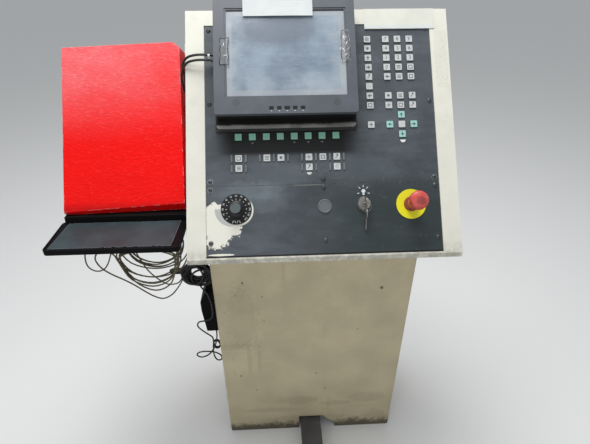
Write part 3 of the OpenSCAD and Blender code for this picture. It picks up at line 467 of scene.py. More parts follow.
@dataclass(frozen=True)
class StainedEnamel(Finish):
    """Enamel of the pedestal: a dirty band at the floor, run-down streaks, stains and dark specks."""

    front: float = -135.0
    reach: float = 30.0
    stains: tuple[tuple[float, ...], ...] = (
        (-217.0, 378.0, 34.0, 9.0), (-174.0, 317.0, 5.0, 44.0), (-147.0, 322.0, 4.0, 34.0))
    patches: tuple[tuple[float, ...], ...] = (
        (-41.0, 138.0, 44.0, 14.0), (169.0, 140.0, 40.0, 18.0), (70.0, 118.0, 34.0, 9.0),
        (-184.0, 480.0, 30.0, 80.0), (-120.0, 96.0, 60.0, 8.0), (-10.0, 52.0, 90.0, 10.0),
        (205.0, 40.0, 30.0, 26.0))
    specks: tuple[tuple[float, ...], ...] = (
        (-202.0, 258.0, 2.2), (-160.0, 193.0, 1.8), (13.0, 257.0, 1.8), (41.0, 189.0, 2.2),
        (-128.0, 470.0, 1.6), (-176.0, 600.0, 2.2), (-130.0, 553.0, 1.6), (-196.0, 560.0, 1.6),
        (172.0, 570.0, 3.2), (120.0, 430.0, 1.4))
    dusty: Colour = (0.17, 0.145, 0.085)
    floor_dirt: Colour = (0.035, 0.028, 0.018)
    dark_runs: Colour = (0.30, 0.25, 0.15)
    pale_runs: Colour = (0.62, 0.58, 0.46)

    def tint(self, paint: Paint) -> None:
        """Adds the floor dirt and the streaks, then the stains, patches and specks of the front wall.

        Args:
            paint: the surface so far.
        """
        nodes = paint.nodes
        where = nodes.where()
        _, _, z = nodes.parts(where)
        ragged = nodes.plus(z, nodes.times(nodes.noise(where, 34.0, 8.0, 0.75), -0.10))
        band = nodes.span(ragged, -0.004, -0.036)
        # Darker and browner towards the bottom.
        paint.cover(self.dusty, nodes.span(ragged, 0.26, -0.03, 0.0, 0.24))
        paint.wash(self.floor_dirt, band, 0.85)
        paint.wash(self.dark_runs, nodes.use(FX.streaks, {"Width": 40.0, "Cover": 0.35}), 0.22)
        paint.wash(self.pale_runs, nodes.use(FX.streaks, {"Width": 26.0, "Cover": 0.15}), 0.22)
        place = nodes.millimetres(where)
        layers = ((self.stains, (0.20, 0.17, 0.08), 0.16), (self.patches, (0.15, 0.13, 0.075), 0.18),
                  (self.specks, (0.06, 0.05, 0.035), 0.8))
        for marks, shade, depth in layers:
            for x, height, *half in marks:
                size = (half[0], self.reach, half[-1])
                mask = blotch(nodes, place, (x, self.front, height), size, 0.8, 0.09, 0.6)
                paint.wash(shade, mask, depth)
        paint.roughen(nodes.times(band, 0.2))


@dataclass(frozen=True)
class PanelCoat(Finish):
    """Dark coat of the panel plates, rubbed to cream paint round the dial and wiped in cloudy strokes."""

    bare: tuple[tuple[Pair, Pair, float], ...] = (
        ((-224.0, 80.0), (22.0, 31.0), 0.3), ((-216.0, 55.0), (27.0, 31.0), 0.35),
        ((-193.0, 62.0), (22.0, 14.0), 0.5), ((-222.0, 34.0), (24.0, 15.0), 0.6),
        ((-181.0, 52.0), (9.0, 8.0), 0.9))
    smears: tuple[tuple[Pair, Pair, float], ...] = (
        ((-150.0, 133.0), (34.0, 12.0), 0.26), ((-118.0, 110.0), (22.0, 12.0), 0.16),
        ((-90.0, 168.0), (46.0, 14.0), 0.15), ((80.0, 175.0), (50.0, 16.0), 0.12))
    paint: Colour = (0.80, 0.78, 0.69)
    primer: Colour = (0.47, 0.48, 0.47)
    greenish: Colour = (0.027, 0.039, 0.040)
    wiped: Colour = (0.135, 0.160, 0.180)
    smeared: Colour = (0.27, 0.33, 0.36)
    # Near-black of the painted shadow band below the monitor.
    black: Colour = (0.002, 0.0024, 0.0022)
    lower_rim: Colour = (0.006, 0.006, 0.006)
    band_middle: float = -72.0
    band_half: float = 118.0
    band_foot: float = 210.0
    band_top: float = 262.0

    def tint(self, paint: Paint) -> None:
        """Adds the dark side, cloudy strokes and smears, a painted shadow band below the monitor, bare paint
        and a painted shade line along the lower edge.

        Args:
            paint: the surface so far.
        """
        nodes = paint.nodes
        place = nodes.on_panel()
        u, v, _ = nodes.parts(place)
        dark_side = nodes.times(nodes.span(u, -170.0, 120.0), nodes.span(v, 260.0, 90.0))
        paint.wash(self.greenish, dark_side, 0.92)
        strokes = nodes.drawn(place, (0.006, 0.02, 0.02), 6.0, 0.65)
        bright_side = nodes.math("SUBTRACT", 1.0, nodes.times(dark_side, 0.7))
        paint.cover(self.wiped, nodes.times(nodes.span(strokes, 0.42, 0.7, 0.0, 0.5), bright_side))
        spots = nodes.noise(place, 0.045, 3.0, 0.5)
        paint.cover(self.wiped, nodes.span(spots, 0.60, 0.78, 0.0, 0.28))
        for middle, size, depth in self.smears:
            paint.wash(self.smeared, self._spot(nodes, place, middle, size, 0.8, 0.03, 1.4), depth)
        # Painted shadow: a near-black band round the soft keys below the monitor, for the monitor's cast
        # shadow and the sheen it cuts off.
        sides = nodes.span(nodes.off(u, self.band_middle), self.band_half + 42.0, self.band_half - 8.0)
        height = nodes.times(nodes.span(v, self.band_foot - 7.0, self.band_foot + 7.0),
                             nodes.span(v, self.band_top + 20.0, self.band_top))
        paint.wash(self.black, nodes.times(sides, height), 0.98)
        paint.roughen(nodes.span(strokes, 0.35, 0.7, 0.08, -0.08))
        self._rub(paint, place, u, v)
        # Painted shade: a dark line along the panel's lower edge, for the shadow in the gap above the lip.
        paint.cover(self.lower_rim, nodes.span(v, 3.2, 2.4))

    def _rub(self, paint: Paint, place: Socket, u: Socket, v: Socket) -> None:
        """Bares paint and primer beside the dial and round it, at the lower edge and below the keys.

        Args:
            paint: the surface so far.
            place: where the surface is on the panel.
            u: the place across.
            v: the place up.
        """
        nodes = paint.nodes
        masks = [self._spot(nodes, place, middle, size, rag, 0.14) for middle, size, rag in self.bare]
        bare = masks[0]
        for mask in masks[1:]:
            bare = nodes.math("MAXIMUM", bare, mask)
        paint.cover(self.paint, bare)
        ring = self._spot(nodes, place, (DIAL[0] - 9.5, DIAL[1] - 0.5), (33.5, 33.5), 0.005, 0.02)
        below = nodes.span(v, DIAL[1] + 3.0, DIAL[1] - 1.0)
        paint.cover(self.primer, nodes.times(ring, nodes.times(bare, below)))
        worn = self._spot(nodes, place, (DIAL[0] + 1.4, DIAL[1] - 1.6), (32.4, 32.4), 0.01, 0.04)
        low_side = nodes.span(nodes.plus(v, nodes.times(u, 0.5)), 40.0, 31.0)
        paint.cover(self.paint, nodes.times(worn, low_side))
        lip = self._spot(nodes, place, (-212.0, 5.4), (26.0, 2.1), 0.22, 0.12)
        rub = self._spot(nodes, place, (-30.0, 144.5), (32.0, 1.3), 0.3, 0.3)
        paint.cover(self.paint, nodes.math("MAXIMUM", lip, nodes.times(rub, 0.15)))
        paint.roughen(nodes.times(bare, 0.15))

    @staticmethod
    def _spot(nodes: Tree, place: Socket, middle: Pair, size: Pair, rag: float, detail: float,
              soft: float = 0.06) -> Socket:
        """Returns the mask of one ragged spot on the panel's face."""
        return blotch(nodes, place, (*middle, 0.0), (*size, 40.0), rag, detail, soft)


@dataclass(frozen=True)
class HoodSkin(Finish):
    """Red coarse-grained skin of the hood: its upper left paler, partly faded and partly painted highlight;
    its edges paler, partly scuffs and partly painted highlights.
    """

    fold_scale: Point = (95.0, 230.0, 230.0)
    bleached: Colour = (0.88, 0.35, 0.38)
    pale_fold: Colour = (0.96, 0.46, 0.46)
    deep_fold: Colour = (0.62, 0.003, 0.003)
    rim: Colour = (0.36, 0.003, 0.003)

    def tint(self, paint: Paint) -> None:
        """Pales the upper left, partly fading and partly painted highlight, adds pale grain lines and paints
        shade in the folds and along the lower rim.

        Args:
            paint: the surface so far.
        """
        nodes = paint.nodes
        low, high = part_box("red_cover")
        where = nodes.where()
        x, _, z = nodes.parts(where)
        # Paler upper left: partly real fading of the skin, partly a painted highlight where the light falls.
        left = nodes.span(x, high.x, low.x)
        top = nodes.span(z, low.z + 0.38 * (high.z - low.z), high.z)
        pale = nodes.times(nodes.plus(nodes.times(left, 0.45), 0.55), top)
        patchy = nodes.drawn(where, (9.0, 14.0, 14.0), 6.0, 0.65)
        pale = nodes.times(pale, nodes.span(patchy, 0.25, 0.7, 0.55, 1.0))
        paint.wash(self.bleached, pale, 0.62)
        folds = self._folds(nodes)
        # Pale lines on the fold crests, strongest in the painted highlight: partly real pale scratches,
        # partly painted glints.
        lines = nodes.times(nodes.span(folds, 0.52, 0.70), nodes.plus(pale, 0.08))
        paint.wash(self.pale_fold, lines, 0.50)
        # Painted shade in the hollows of the folds.
        paint.cover(self.deep_fold, nodes.span(folds, 0.46, 0.34, 0.0, 0.18))
        # Painted shade along the lower rim, which lies in shadow.
        paint.wash(self.rim, nodes.span(z, low.z + 0.028, low.z + 0.012), 0.55)

    def relief(self, nodes: Tree) -> Socket:
        """Returns the height of wrinkled grain that runs mostly across the hood."""
        pebbles = nodes.cells(nodes.where(), 330.0)
        return nodes.plus(nodes.times(self._folds(nodes), 1.9), nodes.times(pebbles, 0.2))

    def _folds(self, nodes: Tree) -> Socket:
        """Returns the noise of the grain's folds."""
        return nodes.drawn(nodes.where(), self.fold_scale, 8.0, 0.68)


@dataclass(frozen=True)
class DustyScreen(Finish):
    """Switched-off screen behind dusty glass: a bluish grey, partly dust and partly a painted reflection of
    the sky, a pale margin with a painted shade line at its top, wiping marks and a darker patch.
    """

    middle: Pair = (-70.3, 408.6)
    half: Pair = (109.0, 79.0)
    # Bluish greys of the glass: partly dust, partly a painted reflection of the sky.
    glass: tuple[Colour, Colour] = ((0.145, 0.195, 0.26), (0.245, 0.31, 0.38))
    wiped: Colour = (0.33, 0.39, 0.45)
    threaded: Colour = (0.44, 0.50, 0.55)
    blotted: Colour = (0.10, 0.125, 0.165)
    filmed: Colour = (0.40, 0.45, 0.49)
    spotted: Colour = (0.55, 0.58, 0.60)
    margins: tuple[Colour, Colour] = ((0.29, 0.32, 0.36), (0.40, 0.43, 0.46))
    top_line: Colour = (0.02, 0.022, 0.026)

    def tint(self, paint: Paint) -> None:
        """Draws the dusty screen, its painted sky reflection and its margin in place of the plain colour.

        Args:
            paint: the surface so far.
        """
        nodes = paint.nodes
        place = nodes.on_panel()
        u, v, _ = nodes.parts(place)
        across, along = nodes.off(u, self.middle[0]), nodes.off(v, self.middle[1])
        blurs = nodes.noise(place, 0.014, 5.0, 0.6)
        # Glass tones: partly dust haze, partly a painted reflection of the pale sky.
        paint.colour = nodes.mix(nodes.span(blurs, 0.32, 0.66), *self.glass)
        wipes = nodes.drawn(place, (0.007, 0.030, 0.02), 7.0, 0.62, 0.16)
        paint.cover(self.wiped, nodes.span(wipes, 0.46, 0.74, 0.0, 0.5))
        threads = nodes.drawn(place, (0.03, 0.35, 0.1), 6.0, 0.7, 0.08)
        paint.cover(self.threaded, nodes.span(threads, 0.56, 0.70, 0.0, 0.45))
        # A darker patch near the top middle of the glass.
        blot = (self.middle[0] - 16.0, self.middle[1] + 52.0, 0.0)
        paint.wash(self.blotted, blotch(nodes, place, blot, (62.0, 30.0, 60.0), 0.3, 0.03, 0.9), 0.72)
        sides = nodes.span(across, self.half[0] - 34.0, self.half[0])
        low = nodes.span(v, self.middle[1] - 20.0, self.middle[1] - self.half[1])
        film = nodes.times(nodes.math("MAXIMUM", sides, low), nodes.span(blurs, 0.3, 0.6, 0.1, 0.5))
        paint.cover(self.filmed, film)
        spots = nodes.noise(place, 0.32, 4.0, 0.8)
        paint.cover(self.spotted, nodes.span(spots, 0.66, 0.76, 0.0, 0.5))
        margin = nodes.mix(nodes.span(blurs, 0.35, 0.7), *self.margins)
        # Painted shade: a dark line along the top of the margin, under the bezel's upper step.
        top = nodes.span(v, self.middle[1] + self.half[1] + 7.5, self.middle[1] + self.half[1] + 9.5)
        margin = nodes.mix(top, margin, self.top_line)
        inside = nodes.times(nodes.span(across, self.half[0] + 1, self.half[0] - 1),
                             nodes.span(along, self.half[1] + 1, self.half[1] - 1))
        paint.colour = nodes.mix(inside, margin, paint.colour)
        paint.rough = nodes.span(wipes, 0.3, 0.7, 0.34, 0.55)


@dataclass(frozen=True)
class BrushedMetal(Finish):
    """Metal with fine lines along X."""

    def relief(self, nodes: Tree) -> Socket:
        """Returns the height of long fine lines."""
        return nodes.drawn(nodes.where(), (40.0, 1500.0, 1500.0), 3.0)


@dataclass(frozen=True)
class BracketMetal(Finish):
    """Carrier plate behind the monitor: a streaked pale strip at its lower edge, and above it a near-black
    painted shadow of the monitor.
    """

    sooty_from: float = 271.0
    smeared: Colour = (0.10, 0.098, 0.088)
    soot: Colour = (0.006, 0.006, 0.005)

    def tint(self, paint: Paint) -> None:
        """Streaks the strip at the lower edge and paints the monitor's shadow over the rest.

        Args:
            paint: the surface so far.
        """
        nodes = paint.nodes
        place = nodes.on_panel()
        _, v, _ = nodes.parts(place)
        smears = nodes.drawn(place, (0.02, 0.09, 0.05), 5.0, 0.65)
        paint.cover(self.smeared, nodes.span(smears, 0.45, 0.65, 0.0, 0.65))
        ragged = nodes.plus(v, nodes.times(smears, 8.0))
        # Painted shadow of the monitor's overhang, with a ragged lower edge.
        paint.cover(self.soot, nodes.span(ragged, self.sooty_from + 1.0, self.sooty_from + 8.0))


@dataclass(frozen=True)
class KeyRubber(Finish):
    """Key caps that grow paler towards their tops; the web between them stays dark."""

    cap: Colour = (0.62, 0.64, 0.63)
    second: Colour = (0.62, 0.64, 0.63)
    split: Pair = (0.0, 0.0)
    plain: Pair = (170.0, 268.9)
    half_key: float = 10.0
    rubbed: Colour = (0.30, 0.31, 0.30)

    def tint(self, paint: Paint) -> None:
        """Colours the caps above the plate; the cursor group round its plain key has its own colour.

        Args:
            paint: the surface so far, which the web keeps.
        """
        nodes = paint.nodes
        place = nodes.on_panel()
        u, v, h = nodes.parts(place)
        group = nodes.times(nodes.math("GREATER_THAN", u, self.split[0]),
                            nodes.math("LESS_THAN", v, self.split[1]))
        off = nodes.math("MAXIMUM", nodes.off(u, self.plain[0]), nodes.off(v, self.plain[1]))
        group = nodes.times(group, nodes.math("GREATER_THAN", off, self.half_key))
        cap = nodes.mix(group, self.cap, self.second)
        blur = nodes.noise(place, 0.12, 4.0, 0.6)
        cap = nodes.mix(nodes.span(blur, 0.45, 0.75, 0.0, 0.4), cap, self.rubbed)
        paint.cover(cap, nodes.span(h, 0.6, 1.9))


@dataclass(frozen=True)
class KnobPlastic(Finish):
    """Plastic of the override knob: a black skirt below a grey-blue cap."""

    cap_radius: float = 10.4
    cap: Colour = (0.105, 0.125, 0.130)

    def tint(self, paint: Paint) -> None:
        """Colours the cap by its distance from the knob's axis.

        Args:
            paint: the surface so far, which the skirt keeps.
        """
        nodes = paint.nodes
        place = nodes.on_panel()
        off = nodes.vector("SUBTRACT", place, (*DIAL, 0.0)).outputs[0]
        flat = nodes.vector("MULTIPLY", off, (1.0, 1.0, 0.0)).outputs[0]
        reach = nodes.vector("LENGTH", flat).outputs["Value"]
        worn = nodes.plus(reach, nodes.times(nodes.noise(place, 0.5, 4.0, 0.7), 2.0))
        paint.cover(self.cap, nodes.span(worn, self.cap_radius + 2.6, self.cap_radius + 0.2))


@dataclass(frozen=True)
class StopHeadPlastic(Finish):
    """Red plastic of the stop button's head, mottled pale and dark in the middle of its top."""

    middle: Pair = (180.0, 99.0)
    top: float = 62.0
    mottled: Colour = (0.62, 0.25, 0.22)
    greasy: Colour = (0.14, 0.045, 0.04)
    stem: Colour = (0.42, 0.10, 0.06)

    def tint(self, paint: Paint) -> None:
        """Mottles the head, darkens the middle of its top and dulls its stem.

        Args:
            paint: the surface so far.
        """
        nodes = paint.nodes
        place = nodes.on_panel()
        _, _, height = nodes.parts(place)
        paint.wash(self.mottled, nodes.span(nodes.noise(place, 0.12, 6.0, 0.7), 0.42, 0.72), 0.5)
        spot = (self.middle[0] + 1.5, self.middle[1] - 2.5, self.top)
        paint.wash(self.greasy, blotch(nodes, place, spot, (6.5, 5.0, 9.0), 0.45, 0.15, 0.9), 0.55)
        paint.wash(self.stem, nodes.span(height, self.top - 18.0, self.top - 24.0), 0.5)


@dataclass(frozen=True)
class ClearFilm(Finish):
    """Clear sticky tape, slightly yellow, seen mainly by its gloss."""

    opacity: float = 0.10

    def shade(self, nodes: Tree, shader: Node) -> None:
        """Makes the film see-through, less so in its wrinkles."""
        creases = nodes.noise(nodes.where(), 260.0, 5.0, 0.7)
        nodes.feed(shader.inputs["Alpha"], nodes.span(creases, 0.5, 0.72, self.opacity, self.opacity * 3))


CREAM = (0.76, 0.745, 0.655)


def finishes() -> dict[str, Finish]:
    """Returns every finish by the name that the pieces ask for."""
    made = [
        DeskEnamel("cream_enamel", CREAM, 0.38, variation=0.03, grime=0.18, grime_depth=0.25, wear=0.42,
                   wear_colour=(0.27, 0.23, 0.16), grain=0.05, grain_scale=420),
        # Pedestal: its khaki tone, darker than the desk's cream, is partly dirt and partly painted shade of
        # the upright wall; its pale edges are partly wear and partly painted edge highlights.
        StainedEnamel("stained_enamel", (0.54, 0.47, 0.31), 0.5, variation=0.10, grime=0.40,
                      grime_depth=0.28, grime_scale=5.0, wear=0.62, wear_colour=(0.64, 0.61, 0.50),
                      grain=0.08, grain_scale=300),
        PanelCoat("panel_coat", (0.070, 0.080, 0.092), 0.44, variation=0.14, grime=0.2, grime_depth=0.3,
                  grain=0.10, grain_scale=1100, specular=0.34),
        Finish("beam_paint", (0.068, 0.066, 0.068), 0.55, variation=0.2, grime=0.5,
               grime_colour=(0.25, 0.23, 0.20), wear=0.6, wear_colour=(0.42, 0.41, 0.40), grain=0.15),
        BrushedMetal("zinc_plate", (0.60, 0.61, 0.61), 0.42, 0.9, variation=0.12, grime=0.4, grain=0.06),
        BracketMetal("bracket_metal", (0.33, 0.33, 0.31), 0.45, 0.3, variation=0.15, grime=0.3,
                     grain=0.08, specular=0.3),
        BrushedMetal("dark_steel", (0.20, 0.20, 0.205), 0.4, 0.85, variation=0.2, grime=0.4, grain=0.06),
        BrushedMetal("nickel", (0.42, 0.41, 0.39), 0.34, 1.0, variation=0.2, grime=0.5, grain=0.06),
        BrushedMetal("nickel_bright", (0.42, 0.43, 0.43), 0.4, 0.5, variation=0.3, grime=0.4, grain=0.04),
        BrushedMetal("dull_key", (0.26, 0.25, 0.23), 0.42, 0.85, variation=0.25, grime=0.5, grain=0.08),
        BrushedMetal("screw_black", (0.10, 0.105, 0.11), 0.42, 0.7, variation=0.3, grime=0.4, grain=0.06),
        Finish("black_plastic", (0.010, 0.010, 0.011), 0.5, variation=0.25, grime=0.3,
               grime_colour=(0.06, 0.057, 0.05), grain=0.12, grain_scale=1400, specular=0.3),
        Finish("tray_plastic", (0.005, 0.005, 0.006), 0.5, variation=0.2, grime=0.12,
               grime_colour=(0.04, 0.04, 0.036), grain=0.1, grain_scale=1400, specular=0.08, wear=0.3,
               wear_colour=(0.09, 0.09, 0.09)),
        # A darker, nearly dust-free copy of the black plastic for the terminal and the adapter: partly
        # painted shade of the hood over the terminal's foot.
        Finish("terminal_plastic", (0.004, 0.004, 0.004), 0.6, variation=0.2, grime=0.1, grain=0.1,
               grain_scale=1400, specular=0.08),
        Finish("bezel_plastic", (0.094, 0.104, 0.124), 0.40, variation=0.10, grime=0.28,
               grime_colour=(0.22, 0.22, 0.215), grime_depth=0.22, wear=0.35,
               wear_colour=(0.30, 0.31, 0.33), grain=0.10, grain_scale=1500),
        Finish("bezel_mark", (0.072, 0.078, 0.088), 0.5, variation=0.15, grime=0.3, grain=0.1,
               grain_scale=1500),
        KnobPlastic("knob_plastic", (0.012, 0.012, 0.013), 0.42, variation=0.15, grime=0.35, grain=0.1,
                    grain_scale=1500, specular=0.35),
        Finish("grey_plastic", (0.125, 0.138, 0.15), 0.5, variation=0.1, grime=0.3, grain=0.1,
               grain_scale=1500, wear=0.4, wear_colour=(0.32, 0.33, 0.34)),
        DustyScreen("dusty_screen", (0.2, 0.24, 0.28), 0.4, grime=0.12, grime_depth=0.2, grain=0.0,
                    coat=0.35),
        Finish("black_rubber", (0.018, 0.018, 0.018), 0.62, variation=0.2, grime=0.3, grain=0.2),
        # Tray mat: its bluish tint is partly a painted reflection of the sky, and its pale edge colour a
        # painted highlight on the raised rim; the pale spots are dust.
        Finish("mat_rubber", (0.028, 0.044, 0.050), 0.5, variation=0.25, grime=0.4,
               grime_colour=(0.14, 0.165, 0.165), grime_depth=0.4, grain=0.3, grain_scale=500,
               specular=0.35, wear=1.0, wear_colour=(0.24, 0.26, 0.28), wear_radius=0.0016),
        KeyRubber("key_grey", (0.03, 0.03, 0.03), 0.5, cap=(0.56, 0.58, 0.575), second=(0.32, 0.62, 0.56),
                  split=(130.0, 297.0), grime=0.25, grain=0.06),
        KeyRubber("key_green", (0.03, 0.03, 0.03), 0.5, cap=(0.22, 0.49, 0.35), grime=0.3, grain=0.06),
        KeyRubber("key_white", (0.03, 0.03, 0.03), 0.5, cap=(0.60, 0.63, 0.62), grime=0.3, grain=0.06),
        Finish("board_lacquer", (0.03, 0.13, 0.06), 0.3, variation=0.2, grain=0.1),
        Finish("contact_red", (0.26, 0.04, 0.03), 0.35, grain=0.05),
        StopHeadPlastic("stop_red", (0.60, 0.065, 0.052), 0.36, variation=0.12, grime=0.4,
                        grime_colour=(0.12, 0.03, 0.025), coat=0.2, grain=0.08, wear=0.4,
                        wear_colour=(0.74, 0.34, 0.30)),
        Finish("stop_yellow", (0.81, 0.75, 0.014), 0.38, variation=0.05, grime=0.35,
               grime_colour=(0.35, 0.30, 0.06), grime_depth=0.5, grain=0.05),
        # The hood's pale pink edges: partly scuffs, partly painted edge highlights.
        HoodSkin("hood_skin", (0.95, 0.005, 0.004), 0.52, variation=0.03, grime=0.1, grime_depth=0.1,
                 grain=0.75, wear=0.66, wear_colour=(0.93, 0.50, 0.50), wear_radius=0.0028,
                 specular=0.12),
        Finish("strap_enamel", (0.58, 0.59, 0.60), 0.45, grime=0.3, grain=0.05),
        Finish("olive_jacket", (0.115, 0.10, 0.055), 0.55, variation=0.25, grime=0.4, grime_scale=30.0,
               grime_colour=(0.24, 0.22, 0.16), grain=0.1),
        Finish("black_jacket", (0.014, 0.014, 0.014), 0.42, variation=0.2, grime=0.35, grime_scale=30.0,
               grime_colour=(0.09, 0.085, 0.075), grain=0.1),
        Finish("print_white", (0.74, 0.76, 0.75), 0.5, variation=0.1, grime=0.3, grain=0.0),
        Finish("print_dark", (0.115, 0.12, 0.125), 0.55, variation=0.1, grain=0.0),
        Finish("print_faint", (0.13, 0.13, 0.115), 0.6, variation=0.2, grime=0.5, grain=0.0),
        # Near-black painted reflection along the tapes' edges.
        Finish("tape_edge_reflection", (0.022, 0.022, 0.024), 0.12, variation=0.2, grime=0.1, grain=0.3,
               grain_scale=300, coat=0.6),
        # Near-white of the tape's folds and painted glints.
        Finish("film_glint", (0.80, 0.82, 0.83), 0.2, variation=0.1, grime=0.1, grain=0.2, coat=0.6),
        Finish("frame_label", (0.70, 0.695, 0.62), 0.62, variation=0.05, grime=0.25,
               grime_colour=(0.42, 0.40, 0.34), grime_depth=0.25, grain=0.1, grain_scale=700),
        Finish("paper", (0.66, 0.69, 0.685), 0.8, variation=0.06, grime=0.3,
               grime_colour=(0.42, 0.41, 0.37), grime_depth=0.3, grain=0.15, grain_scale=700),
        Finish("tie_white", (0.70, 0.70, 0.68), 0.4, grain=0.02),
        ClearFilm("clear_film", (0.55, 0.57, 0.58), 0.14, variation=0.05, grime=0.2, grain=0.5,
                  grain_scale=160, coat=0.5),
        ClearFilm("faint_film", (0.74, 0.73, 0.66), 0.3, variation=0.05, grime=0.1, grain=0.3,
                  grain_scale=90, opacity=0.04),
        # Key guards: lighter than the panel coat they share, a painted highlight of their lit faces.
        Finish("guard_plastic", (0.165, 0.175, 0.185), 0.4, variation=0.15, grime=0.4, grain=0.08,
               grain_scale=1500, wear=0.5, wear_colour=(0.36, 0.38, 0.40)),
        Finish("collar_red", (0.26, 0.05, 0.035), 0.45, variation=0.2, grime=0.4,
               grime_colour=(0.05, 0.02, 0.02), grain=0.08),
    ]
    return {finish.name: finish for finish in made}


WELD = 1e-6
FLAT = math.radians(1.0)
CORNER = math.radians(28.0)
SKIN_SMOOTH = 40.0


class Workshop:
    """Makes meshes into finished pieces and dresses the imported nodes."""

    def __init__(self) -> None:
        """Starts with no material built; each is built when it is first asked for."""
        self.finishes = finishes()
        self.built: dict[str, bpy.types.Material] = {}

    def material(self, name: str) -> bpy.types.Material:
        """Returns the material of that name, built once."""
        if name not in self.built:
            self.built[name] = self.finishes[name].build()
        return self.built[name]

    def dress(self, finish: str, *nodes: str) -> None:
        """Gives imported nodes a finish.

        Args:
            finish: the name of the finish.
            nodes: the nodes' names.
        """
        material = self.material(finish)
        for name in nodes:
            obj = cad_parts[name]
            for slot in obj.material_slots:
                slot.link = "OBJECT"
                slot.material = material
            if not obj.material_slots:
                obj.data.materials.append(material)

    def piece(self, name: str, shape: Shape, finish: str,
              replaces: Sequence[str] = (), smooth: float = 35.0) -> bpy.types.Object:
        """Turns a shape, already in the part's frame, into a finished piece.

        Args:
            name: the piece's name.
            shape: its mesh; it is freed here.
            finish: the name of its finish.
            replaces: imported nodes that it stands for.
            smooth: the angle in degrees up to which edges are shaded smooth.

        Returns:
            The new object.
        """
        mesh = bpy.data.meshes.new(name)
        shape.to_mesh(mesh)
        shape.free()
        mesh.shade_smooth()
        mesh.set_sharp_from_angle(angle=math.radians(smooth))
        mesh.materials.append(self.material(finish))
        obj = linked(name, mesh)
        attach(obj, CONSOLE)
        if replaces:
            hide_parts(*replaces)
        LOG.info("%s: %d faces", name, len(mesh.polygons))
        return obj

    def lay(self, name: str, shapes: Sequence[Shape], place: Matrix, finish: str,
            smooth: float = 35.0) -> None:
        """Makes one piece of shapes in millimetres, carried to their place."""
        self.piece(name, joined(shapes, place), finish, smooth=smooth)

    def softened(self, node: str, radius: float, finish: str, segments: int = 2) -> None:
        """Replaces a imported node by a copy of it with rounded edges.

        Args:
            node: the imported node.
            radius: the rounding radius in metres.
            finish: the name of its finish.
            segments: steps in each rounding.
        """
        shape = bmesh.new()
        shape.from_mesh(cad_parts[node].data)
        bmesh.ops.remove_doubles(shape, verts=shape.verts, dist=WELD)
        bmesh.ops.dissolve_limit(shape, angle_limit=FLAT, verts=shape.verts, edges=shape.edges)
        corners = [edge for edge in shape.edges if edge.is_manifold and edge.calc_face_angle(0.0) > CORNER]
        bmesh.ops.bevel(shape, geom=corners, offset=radius, offset_type="OFFSET", affect="EDGES",
                        segments=segments, profile=0.5, clamp_overlap=True, material=-1)
        bmesh.ops.triangulate(shape, faces=[face for face in shape.faces if len(face.verts) > 4])
        skin = self.piece(f"{node}_skin", shape, finish, [node], SKIN_SMOOTH)
        skin.modifiers.new("even_normals", "WEIGHTED_NORMAL").keep_sharp = True


def linked(name: str, data: bpy.types.ID) -> bpy.types.Object:
    """Makes an object of the data and puts it in the scene.

    Args:
        name: the object's name.
        data: its mesh, curve, lamp or camera.

    Returns:
        The new object.
    """
    obj = bpy.data.objects.new(name, data)
    bpy.context.scene.collection.objects.link(obj)
    return obj


def new_verts(result: dict) -> list[bmesh.types.BMVert]:
    """Returns the vertices that an extrusion has made."""
    return [item for item in result["geom"] if isinstance(item, bmesh.types.BMVert)]


def placed(shape: Shape, spot: Point, degrees: float = 0.0) -> Shape:
    """Turns a shape about Z and moves it.

    Args:
        shape: the shape, round the origin.
        spot: where its origin goes.
        degrees: the turn.

    Returns:
        The same shape.
    """
    turn = Matrix.Translation(spot) @ Matrix.Rotation(math.radians(degrees), 4, "Z")
    bmesh.ops.transform(shape, matrix=turn, verts=shape.verts)
    return shape


def block(size: Point, centre: Point = (0.0, 0.0, 0.0), bevel: float = 0.0) -> Shape:
    """Makes a box in millimetres.

    Args:
        size: its sides.
        centre: its centre.
        bevel: the radius of its edges, or nothing for sharp ones.

    Returns:
        The closed shape.
    """
    shape = bmesh.new()
    bmesh.ops.create_cube(shape, size=1.0)
    bmesh.ops.scale(shape, vec=size, verts=shape.verts)
    bmesh.ops.translate(shape, vec=centre, verts=shape.verts)
    if bevel:
        bmesh.ops.bevel(shape, geom=shape.edges[:], offset=bevel, affect="EDGES", segments=2, profile=0.5,
                        clamp_overlap=True, material=-1)
    return shape


def raised(shape: Shape, height: float, middle: Point) -> Shape:
    """Raises a flat shape to a height and moves it.

    Args:
        shape: the flat shape, round the origin.
        height: how high its top comes.
        middle: where its foot's origin goes.

    Returns:
        The closed shape.
    """
    tops = new_verts(bmesh.ops.extrude_face_region(shape, geom=shape.faces[:]))
    bmesh.ops.translate(shape, vec=(0.0, 0.0, height), verts=tops)
    bmesh.ops.recalc_face_normals(shape, faces=shape.faces)
    bmesh.ops.translate(shape, vec=middle, verts=shape.verts)
    return shape


def outline(points: Sequence[Pair], height: float, middle: Point = (0.0, 0.0, 0.0)) -> Shape:
    """Makes a flat plate.

    Args:
        points: its outline in millimetres.
        height: its thickness.
        middle: where its foot's origin goes.

    Returns:
        The closed shape.
    """
    shape = bmesh.new()
    shape.faces.new([shape.verts.new((x, y, 0.0)) for x, y in points])
    return raised(shape, height, middle)


def disc(radius: float, height: float, middle: Point, steps: int) -> Shape:
    """Makes a low cylinder in millimetres.

    Args:
        radius: its radius.
        height: its height.
        middle: the centre of its foot.
        steps: its sides.

    Returns:
        The closed shape.
    """
    shape = bmesh.new()
    bmesh.ops.create_circle(shape, cap_ends=True, radius=radius, segments=steps)
    return raised(shape, height, middle)


